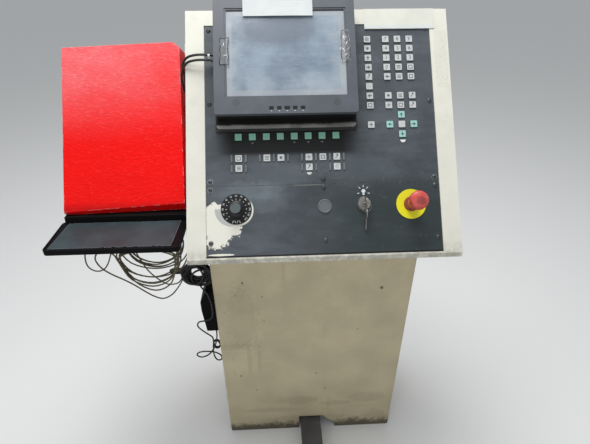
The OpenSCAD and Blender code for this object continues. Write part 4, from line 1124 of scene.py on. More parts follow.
def half_disc(radius: float, height: float, middle: Point, steps: int = 10) -> Shape:
    """Returns the lower half of a low cylinder in millimetres."""
    turns = [math.pi * (1 + index / steps) for index in range(steps + 1)]
    return outline([(radius * math.cos(turn), radius * math.sin(turn)) for turn in turns], height, middle)


def circle(steps: int, radius: float = 1.0) -> Shape:
    """Makes an open ring of edges.

    Args:
        steps: how many edges.
        radius: its radius.

    Returns:
        The ring, round the origin.
    """
    shape = bmesh.new()
    bmesh.ops.create_circle(shape, cap_ends=False, radius=radius, segments=steps)
    return shape


def flat_band(shape: Shape, inward: Pair, thickness: float) -> Shape:
    """Makes a ring of edges into a flat band.

    Args:
        shape: the ring, round the origin.
        inward: the inner edge's size as a share of the ring's, in width and height.
        thickness: the band's thickness.

    Returns:
        The closed shape.
    """
    inner = new_verts(bmesh.ops.extrude_edge_only(shape, edges=shape.edges[:]))
    bmesh.ops.scale(shape, vec=(*inward, 1.0), verts=inner)
    bmesh.ops.solidify(shape, geom=shape.faces[:], thickness=thickness)
    bmesh.ops.recalc_face_normals(shape, faces=shape.faces)
    return shape


def grid(size: Pair, faces: tuple[int, int]) -> Shape:
    """Makes a flat grid.

    Args:
        size: its width and height.
        faces: the faces across and along.

    Returns:
        The grid, round the origin.
    """
    shape = bmesh.new()
    bmesh.ops.create_grid(shape, x_segments=faces[0], y_segments=faces[1], size=0.5)
    bmesh.ops.scale(shape, vec=(*size, 1.0), verts=shape.verts)
    return shape


def joined(shapes: Sequence[Shape], matrix: Matrix) -> Shape:
    """Joins shapes in one and carries it to its place.

    Args:
        shapes: the shapes, which are freed here.
        matrix: the transform to the part's frame.

    Returns:
        The whole.
    """
    whole = bmesh.new()
    holder = bpy.data.meshes.new("holder")
    for shape in shapes:
        shape.to_mesh(holder)
        shape.free()
        whole.from_mesh(holder)
    bpy.data.meshes.remove(holder)
    bmesh.ops.transform(whole, matrix=matrix, verts=whole.verts)
    return whole


def lettering(text: str, size: float, height: float, middle: Pair, degrees: float = 0.0) -> Shape:
    """Makes plain numerals as a thin mesh.

    Args:
        text: the numerals.
        size: the font size in millimetres.
        height: their thickness.
        middle: the centre of the text.
        degrees: how far it is turned.

    Returns:
        The shape in millimetres.
    """
    curve = bpy.data.curves.new("numeral", "FONT")
    curve.body = text
    curve.size = size
    curve.align_x = "CENTER"
    curve.align_y = "CENTER"
    curve.extrude = height / 2
    curve.resolution_u = 2
    holder = linked("numeral", curve)
    bpy.context.view_layer.update()
    mesh = bpy.data.meshes.new_from_object(holder)
    shape = bmesh.new()
    shape.from_mesh(mesh)
    bpy.data.objects.remove(holder)
    bpy.data.curves.remove(curve)
    bpy.data.meshes.remove(mesh)
    return placed(shape, (*middle, height / 2), degrees)


@dataclass(frozen=True)
class Lamp:
    """A soft rectangular lamp and the point that it looks at, in metres."""

    name: str
    spot: Point
    size: Pair
    power: float
    aim: Point

    def build(self) -> None:
        """Adds the lamp to the scene."""
        data = bpy.data.lights.new(self.name, "AREA")
        data.shape = "RECTANGLE"
        data.size, data.size_y = self.size
        data.energy = self.power
        lamp = linked(self.name, data)
        lamp.location = self.spot
        lamp.rotation_euler = (Vector(self.aim) - Vector(self.spot)).to_track_quat("-Z", "Y").to_euler()


@dataclass
class Studio:
    """Pale floor, soft light from above and the camera of the photograph."""

    eye: Point = (-0.0844, -0.9588, 1.2822)
    pitch: float = 31.78
    yaw: float = 2.66
    roll: float = -0.22
    focal_px: float = 431.4
    frame_px: float = 590.0
    sensor: float = 36.0
    floor_side: float = 60.0
    floor_colour: Colour = (0.60, 0.60, 0.59)
    floor_seen: Colour = (0.86, 0.86, 0.85)
    floor_roughness: float = 0.85
    sky_colour: Colour = (0.93, 0.965, 1.0)
    sky: float = 0.44
    sky_seen: float = 0.30
    lamps: tuple[Lamp, ...] = (
        Lamp("ceiling", (-0.25, 0.15, 3.0), (1.5, 1.1), 48.0, (0.0, 0.0, 0.6)),
        Lamp("front_fill", (-0.7, -2.7, 1.5), (2.2, 1.7), 15.0, (0.0, 0.0, 0.5)))

    def build(self) -> None:
        """Makes the floor, the world, the lamps and the camera."""
        scene = bpy.context.scene
        scene.view_settings.view_transform = "Standard"
        self._floor()
        self._world(scene)
        for lamp in self.lamps:
            lamp.build()
        self._camera(scene)

    def _floor(self) -> None:
        """Makes the floor, paler where the camera sees it."""
        mesh = bpy.data.meshes.new("studio_floor")
        shape = grid((self.floor_side, self.floor_side), (1, 1))
        shape.to_mesh(mesh)
        shape.free()
        material = bpy.data.materials.new("studio_floor")
        material.use_nodes = True
        shader = material.node_tree.nodes["Principled BSDF"]
        nodes = Tree(material.node_tree)
        seen = nodes.add("ShaderNodeLightPath").outputs["Is Camera Ray"]
        nodes.feed(shader.inputs["Base Color"], nodes.mix(seen, self.floor_colour, self.floor_seen))
        nodes.feed(shader.inputs["Roughness"], self.floor_roughness)
        mesh.materials.append(material)
        linked("studio_floor", mesh)

    def _world(self, scene: bpy.types.Scene) -> None:
        """Sets an even pale sky, paler where the camera sees it.

        Args:
            scene: the scene that gets it.
        """
        world = bpy.data.worlds.new("studio")
        world.use_nodes = True
        ground = world.node_tree.nodes["Background"]
        nodes = Tree(world.node_tree)
        nodes.feed(ground.inputs["Color"], self.sky_colour)
        seen = nodes.add("ShaderNodeLightPath").outputs["Is Camera Ray"]
        nodes.feed(ground.inputs["Strength"], nodes.plus(nodes.times(seen, self.sky_seen), self.sky))
        scene.world = world

    def _camera(self, scene: bpy.types.Scene) -> None:
        """Places the camera where the photograph was taken from.

        Args:
            scene: the scene that gets it.
        """
        data = bpy.data.cameras.new("camera")
        data.sensor_width = self.sensor
        data.lens = self.focal_px * self.sensor / self.frame_px
        turn = (Matrix.Rotation(math.radians(-self.yaw), 4, "Z")
                @ Matrix.Rotation(math.radians(90 - self.pitch), 4, "X")
                @ Matrix.Rotation(math.radians(self.roll), 4, "Z"))
        scene.camera = linked("camera", data)
        scene.camera.matrix_world = Matrix.Translation(self.eye) @ turn


ROUTE_STEPS = 4


def smooth_path(points: Sequence[Point], steps: int) -> list[Vector]:
    """Finds a smooth line through the given points.

    Args:
        points: the line's own points.
        steps: pieces in each stretch.

    Returns:
        The points, the given ones among them.
    """
    line = [Vector(point) for point in points]
    found: list[Vector] = []
    for index in range(len(line) - 1):
        before, start = line[max(index - 1, 0)], line[index]
        end, after = line[index + 1], line[min(index + 2, len(line) - 1)]
        for step in range(steps):
            s = step / steps
            bend = (2 * before - 5 * start + 4 * end - after) * s * s
            twist = (3 * start - before - 3 * end + after) * s ** 3
            found.append(0.5 * (2 * start + (end - before) * s + bend + twist))
    return [*found, line[-1]]


@dataclass
class Cord:
    """A free cord: its route in the desk's frame in millimetres, its gauge and what it joins."""

    name: str
    route: Sequence[Point]
    gauge: float
    jacket: str
    replaces: tuple[str, ...]
    far_end: str = "object"
    stiffness: str = "limp"
    lay: str = "hanging"
    pieces: tuple[str, ...] = ()

    def build(self, shop: Workshop) -> None:
        """Args:
            shop: where its material is made.
        """
        points = [at_desk(point) for point in smooth_path(self.route, ROUTE_STEPS)]
        curve = bpy.data.curves.new(self.name, "CURVE")
        curve.dimensions = "3D"
        curve.bevel_depth = self.gauge * MM / 2
        curve.bevel_resolution = 2
        curve.use_fill_caps = True
        curve.resolution_u = 1
        spline = curve.splines.new("POLY")
        spline.points.add(len(points) - 1)
        for item, point in zip(spline.points, points):
            item.co = (*point, 1.0)
        curve.materials.append(shop.material(self.jacket))
        obj = linked(self.name, curve)
        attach(obj, CONSOLE)
        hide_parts(*self.replaces)


@dataclass
class Cabling:
    """The cords: two monitor cables, two terminal cables in a loose tangle, and the adapter's lead."""

    monitor_gauge: float = 5.0
    olive_gauge: float = 3.2
    lead_gauge: float = 4.0
    coil_middle: Point = (-299.5, 150.0, -152.0)
    coil_radius: float = 25.0
    coil_steps: int = 16
    coil_lead_in: int = 2
    coil_loops: tuple[tuple[float, float, float, float], ...] = (
        (-13.0, 2.0, 14.0, -10.0), (-18.5, 2.0, -13.0, 9.0), (-13.5, 9.5, 0.0, 0.0))
    bundle_change: float = 0.7
    loop_change: float = 0.1
    turn_steps: int = 8
    knot_turns: int = 2
    knot_middle: Point = (-280.0, 161.0, -424.0)
    knot_half: Pair = (9.5, 16.0)
    knot_pitch: float = 5.0
    olive_turns: float = 5.5
    olive_up: float = 26.0
    monitor_a: tuple[Point, ...] = (
        (-215, 237, 342), (-236, 237, 344), (-258, 239, 343), (-276, 243, 337), (-287, 247, 322),
        (-286, 247, 298), (-287, 240, 240), (-288, 230, 170), (-289, 222, 100), (-289, 214, 30),
        (-292, 196, -40), (-298, 168, -95))
    monitor_b: tuple[Point, ...] = (
        (-215, 231, 333), (-236, 231, 335), (-258, 233, 334), (-276, 237, 328), (-287, 239, 314),
        (-292, 243, 296), (-292, 252, 274), (-289, 263, 248), (-289, 272, 222), (-296, 274, 200),
        (-312, 271, 188))
    olive_a_start: tuple[Point, ...] = (
        (-312, 211, 97), (-297, 208, 93), (-289, 188, 86), (-288, 160, 79), (-287, 120, 56),
        (-287, 94, 22), (-288, 84, 0))
    olive_a_end: tuple[Point, ...] = (
        (-438, 102, -2), (-454, 99, 10), (-476, 96, 12), (-499, 93, 4), (-517, 91, -22), (-528, 90, -55),
        (-527, 90, -80), (-514, 91, -93), (-497, 92, -91), (-484, 94, -76), (-474, 96, -54),
        (-464, 100, -30), (-450, 105, -16), (-436, 109, -24), (-424, 110, -52), (-414, 109, -82),
        (-403, 109, -111), (-386, 111, -137), (-368, 118, -160), (-350, 134, -172), (-342, 151, -173),
        (-337, 167, -166), (-327, 186, -145), (-312, 204, -116), (-296, 213, -95), (-284, 215, -87),
        (-276, 215, -85))
    olive_b_start: tuple[Point, ...] = (
        (-312, 224, 117), (-297, 224, 114), (-289, 206, 107), (-289, 165, 93), (-289, 135, 77),
        (-289, 100, 50), (-289, 72, 24), (-289, 58, 0))
    olive_b_end: tuple[Point, ...] = (
        (-435, 27, -4), (-449, 25, 8), (-465, 24, 4), (-473, 24, -13), (-466, 25, -35), (-450, 28, -55),
        (-431, 34, -75), (-415, 41, -96), (-401, 51, -122), (-387, 67, -153), (-374, 87, -178),
        (-360, 112, -188), (-349, 140, -187), (-341, 165, -181), (-334, 188, -168), (-321, 209, -146),
        (-305, 227, -118), (-290, 238, -95), (-276, 240, -85))
    lead_start: tuple[Point, ...] = (
        (-273, 150, -351), (-273, 150, -370), (-277, 148, -395), (-286, 145, -420), (-302, 142, -440),
        (-322, 141, -448), (-334, 141, -439), (-326, 141, -428), (-304, 143, -428), (-282, 147, -438),
        (-269, 151, -456), (-271, 154, -476), (-284, 156, -477), (-291, 158, -455))
    lead_end: tuple[Point, ...] = (
        (-291, 172, -404), (-300, 162, -380), (-311, 148, -350), (-317, 134, -320), (-309, 122, -294),
        (-290, 115, -283), (-272, 113, -270), (-269, 115, -235), (-276, 117, -198), (-290, 128, -184),
        (-299, 139, -177))

    def build(self, shop: Workshop) -> None:
        """Makes every cord.

        Args:
            shop: where their materials are made.
        """
        first = self._loose_turns((-372.0, 76.0, -22.0), (82, 62, 55, 66, 58, 64, 62),
                                  (58, 60, 50, 66, 54, 60, 58), 4.6)
        second = self._loose_turns((-370.0, 52.0, -24.0), (81, 60, 66, 54, 63, 58, 60),
                                   (62, 54, 62, 96, 58, 70, 60), -4.4)
        cords = [
            Cord("monitor_cable_long", [*self.monitor_a, *self._coil_turns()], self.monitor_gauge,
                 "black_jacket", ("monitor_cable_a", "black_coil"), "plug", "medium", "coiled",
                 ("coil_plug",)),
            Cord("monitor_cable_short", self.monitor_b, self.monitor_gauge, "black_jacket",
                 ("monitor_cable_b",), stiffness="medium"),
            Cord("terminal_cable_a", [*self.olive_a_start, *first, *self.olive_a_end], self.olive_gauge,
                 "olive_jacket", ("olive_cable_a",), lay="loose"),
            Cord("terminal_cable_b", [*self.olive_b_start, *second, *self.olive_b_end], self.olive_gauge,
                 "olive_jacket", ("olive_cable_b",), lay="loose"),
            Cord("adapter_cord", [*self.lead_start, *self._knot(), *self.lead_end], self.lead_gauge,
                 "black_jacket", ("adapter_lead",), lay="loose")]
        for cord in cords:
            cord.build(shop)

    def _coil_turns(self) -> list[Point]:
        """Lays out the coil: a round bundle of lanes, then loose loops that cross its front and its hole.

        Returns:
            The points of its turns.
        """
        lanes = self._lanes()
        points: list[Point] = []
        for index, lane in enumerate(lanes):
            after = lanes[min(index + 1, len(lanes) - 1)]
            in_bundle = index + 1 < len(lanes) - len(self.coil_loops) - 1
            change = self.bundle_change if in_bundle else self.loop_change
            for step in range(self.coil_steps):
                share = min(1.0, max(0.0, (step / self.coil_steps - change) / (1 - change)))
                share = share * share * (3 - 2 * share)
                side, rise, across, up = (a + (b - a) * share for a, b in zip(lane, after))
                angle = math.radians(90 + 360 * step / self.coil_steps)
                radius = self.coil_radius + rise
                points.append((self.coil_middle[0] + across - radius * math.cos(angle),
                               self.coil_middle[1] + side,
                               self.coil_middle[2] + up + radius * math.sin(angle)))
        return points[self.coil_lead_in:]

    def _lanes(self) -> list[tuple[float, float, float, float]]:
        """Lists the coil's lanes: two rings round a middle one, each next to the one before it.

        Returns:
            For each turn its shift to the side, its rise, and its centre's shift across and up.
        """
        pitch = self.monitor_gauge
        inner = [self._round_middle(pitch, 60 * k) for k in range(6)]
        outer = [self._round_middle(pitch * math.sqrt(3), 60 * k + 30) for k in range(6)]
        bundle = [outer[0], inner[0], outer[5], inner[5], outer[4], inner[4], (0.0, 0.0), inner[1], inner[2],
                  outer[2], inner[3], outer[3]]
        return [*[(*lane, 0.0, 0.0) for lane in bundle], *self.coil_loops, (*outer[1], 0.0, 0.0)]

    @staticmethod
    def _round_middle(reach: float, degrees: float) -> Pair:
        """Returns a lane of the bundle at a reach and an angle from its middle."""
        return reach * math.cos(math.radians(degrees)), reach * math.sin(math.radians(degrees))

    def _loose_turns(self, middle: Point, wide: Sequence[float], deep: Sequence[float],
                     pitch: float) -> list[Point]:
        """Lays out untidy turns that hang in a loose ring and never cross themselves.

        Args:
            middle: the ring's centre at its first turn, in the desk's frame.
            wide: half the width of each turn in order.
            deep: how far each turn hangs below the centre.
            pitch: the step along Y from turn to turn.

        Returns:
            The points of the turns.
        """
        points: list[Point] = []
        for step in range(int(self.turn_steps * self.olive_turns) + 1):
            turn = step / self.turn_steps
            angle = -2 * math.pi * turn
            height = self.olive_up if math.sin(angle) > 0 else self._between(deep, turn)
            points.append((middle[0] + self._between(wide, turn) * math.cos(angle),
                           middle[1] + pitch * turn, middle[2] + height * math.sin(angle)))
        return points

    @staticmethod
    def _between(values: Sequence[float], place: float) -> float:
        """Returns the value at a place between two whole numbers."""
        index = int(place)
        return values[index] + (place - index) * (values[index + 1] - values[index])

    def _knot(self) -> list[Point]:
        """Lays out the small double ring in which the adapter's lead is knotted round itself.

        Returns:
            The points of the ring.
        """
        x, y, z = self.knot_middle
        wide, tall = self.knot_half
        points: list[Point] = []
        for step in range(self.turn_steps * self.knot_turns + 1):
            turn = step / self.turn_steps
            angle = math.pi - 2 * math.pi * turn
            points.append((x + wide * math.cos(angle), y + self.knot_pitch * turn,
                           z + tall * math.sin(angle)))
        return points


class Pedestal:
    """The pedestal with its foot beam, service door and inner parts."""

    def build(self, shop: Workshop) -> None:
        """Dresses the pedestal's nodes.

        Args:
            shop: where their materials are made.
        """
        shop.dress("stained_enamel", "pedestal_shell", "service_door")
        shop.dress("beam_paint", "foot_beam", "power_supply")
        shop.dress("black_plastic", "foot_end_cap")
        shop.dress("zinc_plate", "beam_bridge", "hinge_pins", "mounting_plate", "desk_bolts", "cover_screws")
        shop.dress("nickel", "door_lock")


LEAF_RIPPLE = 0.03
LEAF_THICKNESS = 0.15


@dataclass(frozen=True)
class Leaf:
    """A thin wavy sheet of paper or film that lies over the panel's plane, in millimetres."""

    name: str
    size: Pair
    faces: tuple[int, int]
    wave: float
    seed: int
    spot: Point
    finish: str

    def build(self, shop: Workshop) -> None:
        """Makes the sheet and lays it at its spot.

        Args:
            shop: where its material is made.
        """
        shape = grid(self.size, self.faces)
        for vert in shape.verts:
            spot = Vector((vert.co.x * LEAF_RIPPLE + self.seed, vert.co.y * LEAF_RIPPLE, 0.0))
            vert.co.z = self.wave * (0.5 + 0.5 * noise.noise(spot))
        bmesh.ops.solidify(shape, geom=shape.faces[:], thickness=LEAF_THICKNESS)
        shop.lay(self.name, [shape], PANEL.matrix(*self.spot), self.finish)


@dataclass
class Desk:
    """The desk's casing and back cover, and the blank papers and the film on its frame."""

    leaves: tuple[Leaf, ...] = (
        Leaf("frame_paper", (152.0, 46.0), (30, 10), 0.5, 3, (176.5, 502.5, 2.2), "frame_label"),
        Leaf("frame_paper_edge", (150.0, 7.5), (30, 3), 0.3, 6, (176.5, 484.0, 2.9), "paper"),
        Leaf("frame_film", (27.0, 128.0), (6, 24), 0.4, 5, (263.0, 412.0, 1.9), "faint_film"))

    def build(self, shop: Workshop) -> None:
        """Dresses the casing and lays the papers and the film."""
        shop.dress("cream_enamel", "desk_shell", "desk_rear_cover")
        for leaf in self.leaves:
            leaf.build(shop)


class Icon(Enum):
    """Plain marks on the keys."""

    ARROW_UP = "arrow_up"
    ARROW_DOWN = "arrow_down"
    ARROW_LEFT = "arrow_left"
    ARROW_RIGHT = "arrow_right"
    BARS = "bars"
    FRAME = "frame"
    SLASH = "slash"
    DOT = "dot"
    CROSS = "cross"
    RING = "ring"


ICON_TURNS = {Icon.ARROW_LEFT: 90.0, Icon.ARROW_DOWN: 180.0, Icon.ARROW_RIGHT: 270.0, Icon.SLASH: 48.0}
INK = 0.12


@dataclass
class KeyField:
    """The three key mats: caps, their dark marks and the half-moon marks below some keys."""

    row: float = 20.9
    top: float = 457.0
    number_u: float = 144.5
    number_pitch: float = 25.5
    left_u: float = 105.0
    soft_u: float = -173.5
    soft_pitch: float = 29.0
    function_v: float = 202.5
    rise: float = 2.4
    line: float = 1.3

    def build(self, shop: Workshop) -> None:
        """Dresses the mats and prints the marks.

        Args:
            shop: where their materials are made.
        """
        shop.dress("key_grey", "keymat_main")
        shop.dress("key_green", "keymat_softkeys")
        shop.dress("key_white", "keymat_function")
        shop.dress("guard_plastic", "key_guards")
        shop.dress("board_lacquer", "keypad_board")
        caps = PANEL.matrix(0.0, 0.0, self.rise)
        shop.lay("key_numerals", self._numerals(), caps, "print_dark")
        shop.lay("key_marks", self._marks(), caps, "print_dark")
        shop.lay("panel_half_moons", self._half_moons(), PANEL.matrix(), "print_white")
        shop.lay("soft_key_marks", self._triangles(), PANEL.matrix(), "print_faint")

    def _row(self, index: int) -> float:
        """Returns the height up the slope of a key row."""
        return self.top - self.row * index

    def _numerals(self) -> list[Shape]:
        """Makes the digits of the number block.

        Returns:
            The digits in millimetres.
        """
        found = []
        for row, digits in enumerate(("789", "456", "123", "0")):
            for column, digit in enumerate(digits):
                spot = (self.number_u + self.number_pitch * column, self._row(row))
                found.append(lettering(digit, 11.5, INK, spot))
        return found

    def _marks(self) -> list[Shape]:
        """Makes the marks on every other key.

        Returns:
            The marks in millimetres.
        """
        places: list[tuple[Icon, float, float]] = []
        cursor = {(1, 8): Icon.ARROW_UP, (1, 10): Icon.ARROW_DOWN, (0, 9): Icon.ARROW_LEFT,
                  (2, 9): Icon.ARROW_RIGHT, (1, 9): Icon.RING}
        others = dict(zip(
            ((1, 3), (2, 3), (0, 4), (1, 4), (2, 4), (0, 6), (1, 6), (2, 6), (0, 7), (1, 7), (2, 7)),
            (Icon.BARS, Icon.FRAME, Icon.ARROW_LEFT, Icon.BARS, Icon.FRAME, Icon.DOT, Icon.BARS, Icon.SLASH,
             Icon.CROSS, Icon.FRAME, Icon.SLASH)))
        for (column, row), icon in {**cursor, **others}.items():
            places.append((icon, self.number_u + self.number_pitch * column, self._row(row)))
        kinds = list(Icon)
        for index, row in enumerate((0, 1, 2, 3, 4, 5, 6, 7, 9)):
            places.append((kinds[(index * 3 + 4) % len(kinds)], self.left_u, self._row(row)))
        upper = {0: Icon.FRAME, 2: Icon.BARS, 3: Icon.DOT, 5: Icon.CROSS, 6: Icon.FRAME, 7: Icon.SLASH}
        lower = {0: Icon.BARS, 5: Icon.SLASH, 7: Icon.RING}
        for icons, v in ((upper, self.function_v), (lower, self.function_v - self.row)):
            for step, icon in icons.items():
                places.append((icon, self.soft_u + self.soft_pitch * step, v))
        return [shape for icon, u, v in places for shape in self._icon(icon, u, v)]

    def _icon(self, icon: Icon, u: float, v: float) -> list[Shape]:
        """Makes one mark of a few thin plates.

        Args:
            icon: which mark.
            u: its centre across the panel.
            v: its centre up the panel.

        Returns:
            The plates in millimetres.
        """
        line, foot = self.line, INK / 2
        if icon is Icon.FRAME:
            shapes = [*[block((8.5, line, INK), (0, y, foot)) for y in (3.4, -3.4)],
                      *[block((line, 5.6, INK), (x, 0, foot)) for x in (3.6, -3.6)]]
        elif icon is Icon.BARS:
            shapes = [block((8.2, line, INK), (0, y, foot)) for y in (-2.8, 0.0, 2.8)]
        elif icon is Icon.SLASH:
            shapes = [block((9.5, line, INK), (0, 0, foot)), disc(1.6, INK, (3.4, 2.2, 0), 10)]
        elif icon is Icon.DOT:
            shapes = [disc(2.9, INK, (0, 0, 0), 14)]
        elif icon is Icon.CROSS:
            shapes = [block((8.4, line, INK), (0, 0, foot)), block((line, 8.4, INK), (0, 0, foot + 0.02))]
        elif icon is Icon.RING:
            shapes = [flat_band(circle(16, 3.4), (0.62, 0.62), INK)]
        else:
            shapes = [outline([(-4.0, -0.5), (4.0, -0.5), (0.0, 4.2)], INK),
                      block((line * 1.5, 4.4, INK), (0, -2.4, foot))]
        return [placed(shape, (u, v, 0), ICON_TURNS.get(icon, 0.0)) for shape in shapes]

    def _half_moons(self) -> list[Shape]:
        """Returns the pale half discs below two keys."""
        return [half_disc(5.8, 0.15, (self.number_u + self.number_pitch + 1, 236.0, 0.0)),
                half_disc(5.2, 0.15, (self.soft_u + 5 * self.soft_pitch, 171.0, 0.0))]

    def _triangles(self) -> list[Shape]:
        """Returns the faint triangles below some of the soft keys."""
        places = [self.soft_u + self.soft_pitch * step for step in (1, 4, 5, 6)]
        return [outline([(u - 3.2, 236.4), (u, 232.2), (u + 3.2, 236.4)], 0.1) for u in places]


@dataclass
class Monitor:
    """The flat monitor with its buttons, the blank note and the tapes on its front."""

    front: float = 46.0
    leaves: tuple[Leaf, ...] = (
        Leaf("blank_note", (142.0, 45.0), (28, 9), 1.2, 9, (-85.0, 507.5, 46.2), "paper"),
        Leaf("clear_tape", (18.0, 58.0), (8, 20), 0.5, 13, (-195.0, 411.0, 46.2), "clear_film"))
    button_marks: tuple[float, ...] = (-103.0, -87.2, -71.5, -55.8, -40.2)
    round_marks: tuple[Pair, ...] = ((-173.0, 305.0), (29.5, 303.0))
    # Pale bits of tape, partly real folds and partly painted glints: across, up, height, length and turn.
    creases: tuple[tuple[float, float, float, float, float], ...] = (
        (-196.0, 424.0, 0.9, 9.0, 74.0), (-193.0, 402.0, 0.9, 7.0, 22.0), (47.0, 434.0, 4.6, 9.0, 98.0),
        (52.0, 423.0, 4.6, 8.0, 66.0), (46.0, 409.0, 4.6, 8.0, 118.0), (50.0, 399.0, 4.6, 6.0, 40.0))

    def build(self, shop: Workshop) -> None:
        """Dresses the monitor and adds the marks, note and tapes.

        Args:
            shop: where their materials are made.
        """
        shop.softened("monitor_bezel", 0.0009, "bezel_plastic")
        shop.softened("monitor_shell", 0.0015, "black_plastic")
        shop.dress("dusty_screen", "monitor_glass")
        shop.dress("bracket_metal", "monitor_bracket")
        shop.dress("black_rubber", "screen_gasket")
        shop.dress("black_plastic", *[f"monitor_button_{index}" for index in range(1, 6)])
        face = PANEL.matrix(0.0, 0.0, self.front)
        marks = [block((3.2, 0.9, 0.08), (u, 286.2, 0.04)) for u in self.button_marks]
        shop.lay("button_marks", marks, face, "print_white")
        rounds = [disc(7.0, 0.15, (*spot, 0.0), 28) for spot in self.round_marks]
        shop.lay("bezel_round_marks", rounds, face, "bezel_mark")
        shop.lay("monitor_lamp", [disc(1.3, 0.5, (-28.0, 293.0, 0.0), 12)], face, "print_dark")
        for leaf in self.leaves:
            leaf.build(shop)
        loose = PANEL.matrix(49.5, 420.0, self.front + 0.2)
        shop.lay("crumpled_tape", [self._crumpled()], loose, "clear_film", 20.0)
        # Painted reflections: dark glossy bands along the tapes' curled edges, for the dark surroundings the
        # shiny tape mirrors.
        rims = [self._rim((-195.0, 411.0), (8.6, 28.0), 3.0, 21),
                self._rim((49.5, 421.0), (8.2, 31.0), 3.6, 34)]
        shop.lay("tape_rims", rims, PANEL.matrix(0.0, 0.0, self.front + 0.8), "tape_edge_reflection")
        # Pale bits of loose tape: partly real white folds, partly painted glints.
        creases = [placed(block((long, 1.1, 0.25), (0, 0, 0.1), 0.1), (u, v, height), turn)
                   for u, v, height, long, turn in self.creases]
        shop.lay("tape_folds_and_glints", creases, face, "film_glint")

    @staticmethod
    def _rim(middle: Pair, half: Pair, wave: float, seed: int) -> Shape:
        """Makes a thin closed band that follows a tape's curled outline.

        Args:
            middle: the outline's centre on the panel.
            half: half its width and height.
            wave: how far the outline wanders.
            seed: shifts the pattern of the wandering.

        Returns:
            The closed band in millimetres.
        """
        shape = circle(40)
        for vert in shape.verts:
            vert.co = vert.co / max(abs(vert.co.x), abs(vert.co.y))
            push = noise.noise(Vector((vert.co.x * 1.7 + seed, vert.co.y * 2.3, 0.0))) * wave
            vert.co = Vector((vert.co.x * (half[0] + push), vert.co.y * (half[1] + push * 0.6), 0.0))
        return placed(flat_band(shape, (0.84, 0.955), 0.35), (*middle, 0.0))

    @staticmethod
    def _crumpled() -> Shape:
        """Makes a strip of tape that has come loose and folded up on itself.

        Returns:
            The closed shape in millimetres.
        """
        shape = grid((19.0, 66.0), (10, 30))
        for vert in shape.verts:
            spot = Vector((vert.co.x * 0.12 + 4.0, vert.co.y * 0.07, 2.0))
            lift = noise.noise(spot) * 3.2 + noise.noise(spot * 2.7) * 1.8
            vert.co.z = max(0.05, 1.8 + lift)
            vert.co.x += noise.noise(spot * 1.6 + Vector((9, 0, 0))) * 3.0
        bmesh.ops.solidify(shape, geom=shape.faces[:], thickness=LEAF_THICKNESS)
        return shape


@dataclass
class RoundControls:
    """The panel plates with their screws, and the dial, knob, plug, key lock and stop button."""

    dial_top: float = 1.6
    tick_reach: float = 20.6
    number_reach: float = 27.4
    print_height: float = 0.1
    last_number: int = 120
    lamp_symbol: Pair = (82.0, 127.5)
    rubbed_screws: tuple[Pair, ...] = ((-232.5, 29.0), (-232.5, 138.0), (-232.5, 155.0), (232.5, 155.0))

    def build(self, shop: Workshop) -> None:
        """Dresses the controls and prints their scales.

        Args:
            shop: where their materials are made.
        """
        shop.dress("panel_coat", "upper_panel", "lower_panel")
        shop.dress("dark_steel", "override_switch")
        shop.dress("screw_black", "panel_screws")
        shop.dress("black_plastic", "override_dial")
        shop.dress("collar_red", "estop_collar")
        shop.dress("grey_plastic", "blanking_plug")
        shop.dress("knob_plastic", "override_knob")
        shop.dress("nickel", "key_switch", "key_barrel")
        shop.dress("dull_key", "switch_key", "key_ring", "spare_key")
        shop.dress("zinc_plate", "estop_plunger")
        shop.dress("stop_red", "estop_mushroom")
        shop.dress("stop_yellow", "estop_plate")
        shop.dress("contact_red", "estop_contacts")
        shop.lay("dial_scale", self._scale(), PANEL.matrix(*DIAL, self.dial_top), "print_white")
        shop.lay("lamp_symbol", self._lamp_symbol(), PANEL.matrix(*self.lamp_symbol), "print_white")
        rings = [placed(flat_band(circle(24, 5.5), (0.87, 0.87), 0.14), (*spot, 0.1))
                 for spot in self.rubbed_screws]
        shop.lay("rubbed_screw_rings", rings, PANEL.matrix(), "nickel_bright")

    def _scale(self) -> list[Shape]:
        """Makes the numbers and ticks round the dial and the four strokes at its foot.

        Returns:
            The prints in millimetres, round the dial's middle.
        """
        height, foot = self.print_height, self.print_height / 2
        found = []
        for number in range(0, self.last_number + 1, 10):
            degrees = 225 - 270 * number / self.last_number
            angle = math.radians(degrees)
            spot = (self.number_reach * math.cos(angle), self.number_reach * math.sin(angle))
            found.append(lettering(str(number), 4.9, height, spot, degrees - 90))
            found.append(placed(block((2.6, 0.9, height), (self.tick_reach, 0, foot)), (0, 0, 0), degrees))
        for index in range(4):
            stroke = block((1.2, 5.6, height), (0, 0, foot))
            found.append(placed(stroke, (-6.9 + 4.6 * index, -25.8, 0), 28 if index % 2 else -16))
        return found

    @staticmethod
    def _lamp_symbol() -> list[Shape]:
        """Returns a plain lamp with rays, printed above the lock."""
        rays = [placed(block((1.3, 4.8, INK), (0, 11.4, INK / 2)), (0, 0, 0), degrees)
                for degrees in (0.0, 45.0, -45.0, 108.0, -108.0)]
        return [disc(4.2, INK, (0, 1.0, 0), 20), block((3.8, 5.6, INK), (0, -4.2, INK / 2)), *rays]


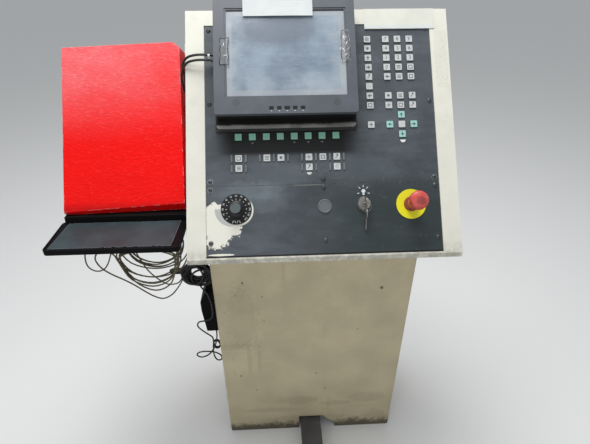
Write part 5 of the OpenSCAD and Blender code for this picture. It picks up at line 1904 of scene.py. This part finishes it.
@dataclass
class SideUnit:
    """The tray, the terminal and its red hood, with the adapter, the glands and the cable tie."""

    tie_spot: Point = (-228.0, 234.0, 339.5)
    tie_lean: float = -34.0
    tie_half: Pair = (4.2, 8.8)
    tie_width: float = 4.2
    tie_thickness: float = 0.9

    def build(self, shop: Workshop) -> None:
        """Dresses the side unit and adds the tie.

        Args:
            shop: where their materials are made.
        """
        shop.softened("red_cover", 0.0035, "hood_skin", 3)
        shop.softened("side_tray", 0.0012, "tray_plastic")
        shop.softened("terminal_unit", 0.0015, "terminal_plastic")
        shop.softened("power_adapter", 0.002, "terminal_plastic")
        shop.dress("mat_rubber", "tray_mat")
        shop.dress("zinc_plate", "shelf_bracket")
        shop.dress("strap_enamel", "terminal_strap")
        shop.dress("black_plastic", "coil_plug", "cable_glands")
        lean = Matrix.Rotation(math.radians(self.tie_lean), 4, "X")
        turn = lean @ Matrix.Rotation(math.radians(90), 4, "Y")
        place = Matrix.Translation(at_desk(self.tie_spot)) @ Matrix.Scale(MM, 4) @ turn
        shop.lay("cable_tie", self._tie(), place, "tie_white")

    def _tie(self) -> list[Shape]:
        """Makes the white tie round both monitor cables, with its head and its cut tail.

        Returns:
            The shapes in millimetres, the loop's axis along Z.
        """
        loop = circle(28)
        bmesh.ops.scale(loop, vec=(*self.tie_half, 1.0), verts=loop.verts)
        tops = new_verts(bmesh.ops.extrude_edge_only(loop, edges=loop.edges[:]))
        bmesh.ops.translate(loop, vec=(0.0, 0.0, self.tie_width), verts=tops)
        bmesh.ops.recalc_face_normals(loop, faces=loop.faces)
        bmesh.ops.solidify(loop, geom=loop.faces[:], thickness=-self.tie_thickness)
        head = block((5.0, 6.0, 5.0), (4.5, 2.0, 0.0), 0.6)
        tail = block((2.0, 12.0, 3.4), (6.2, 9.5, 0.0), 0.3)
        return [placed(loop, (0.0, 0.0, -self.tie_width / 2)), head, tail]


def main() -> None:
    """Builds the scene in order."""
    logging.basicConfig(level=logging.INFO, format="%(name)s %(message)s")
    Studio().build()
    shop = Workshop()
    for part in (Cabling(), Pedestal(), Desk(), KeyField(), Monitor(), RoundControls(), SideUnit()):
        part.build(shop)


if __name__ == "__main__":
    main()
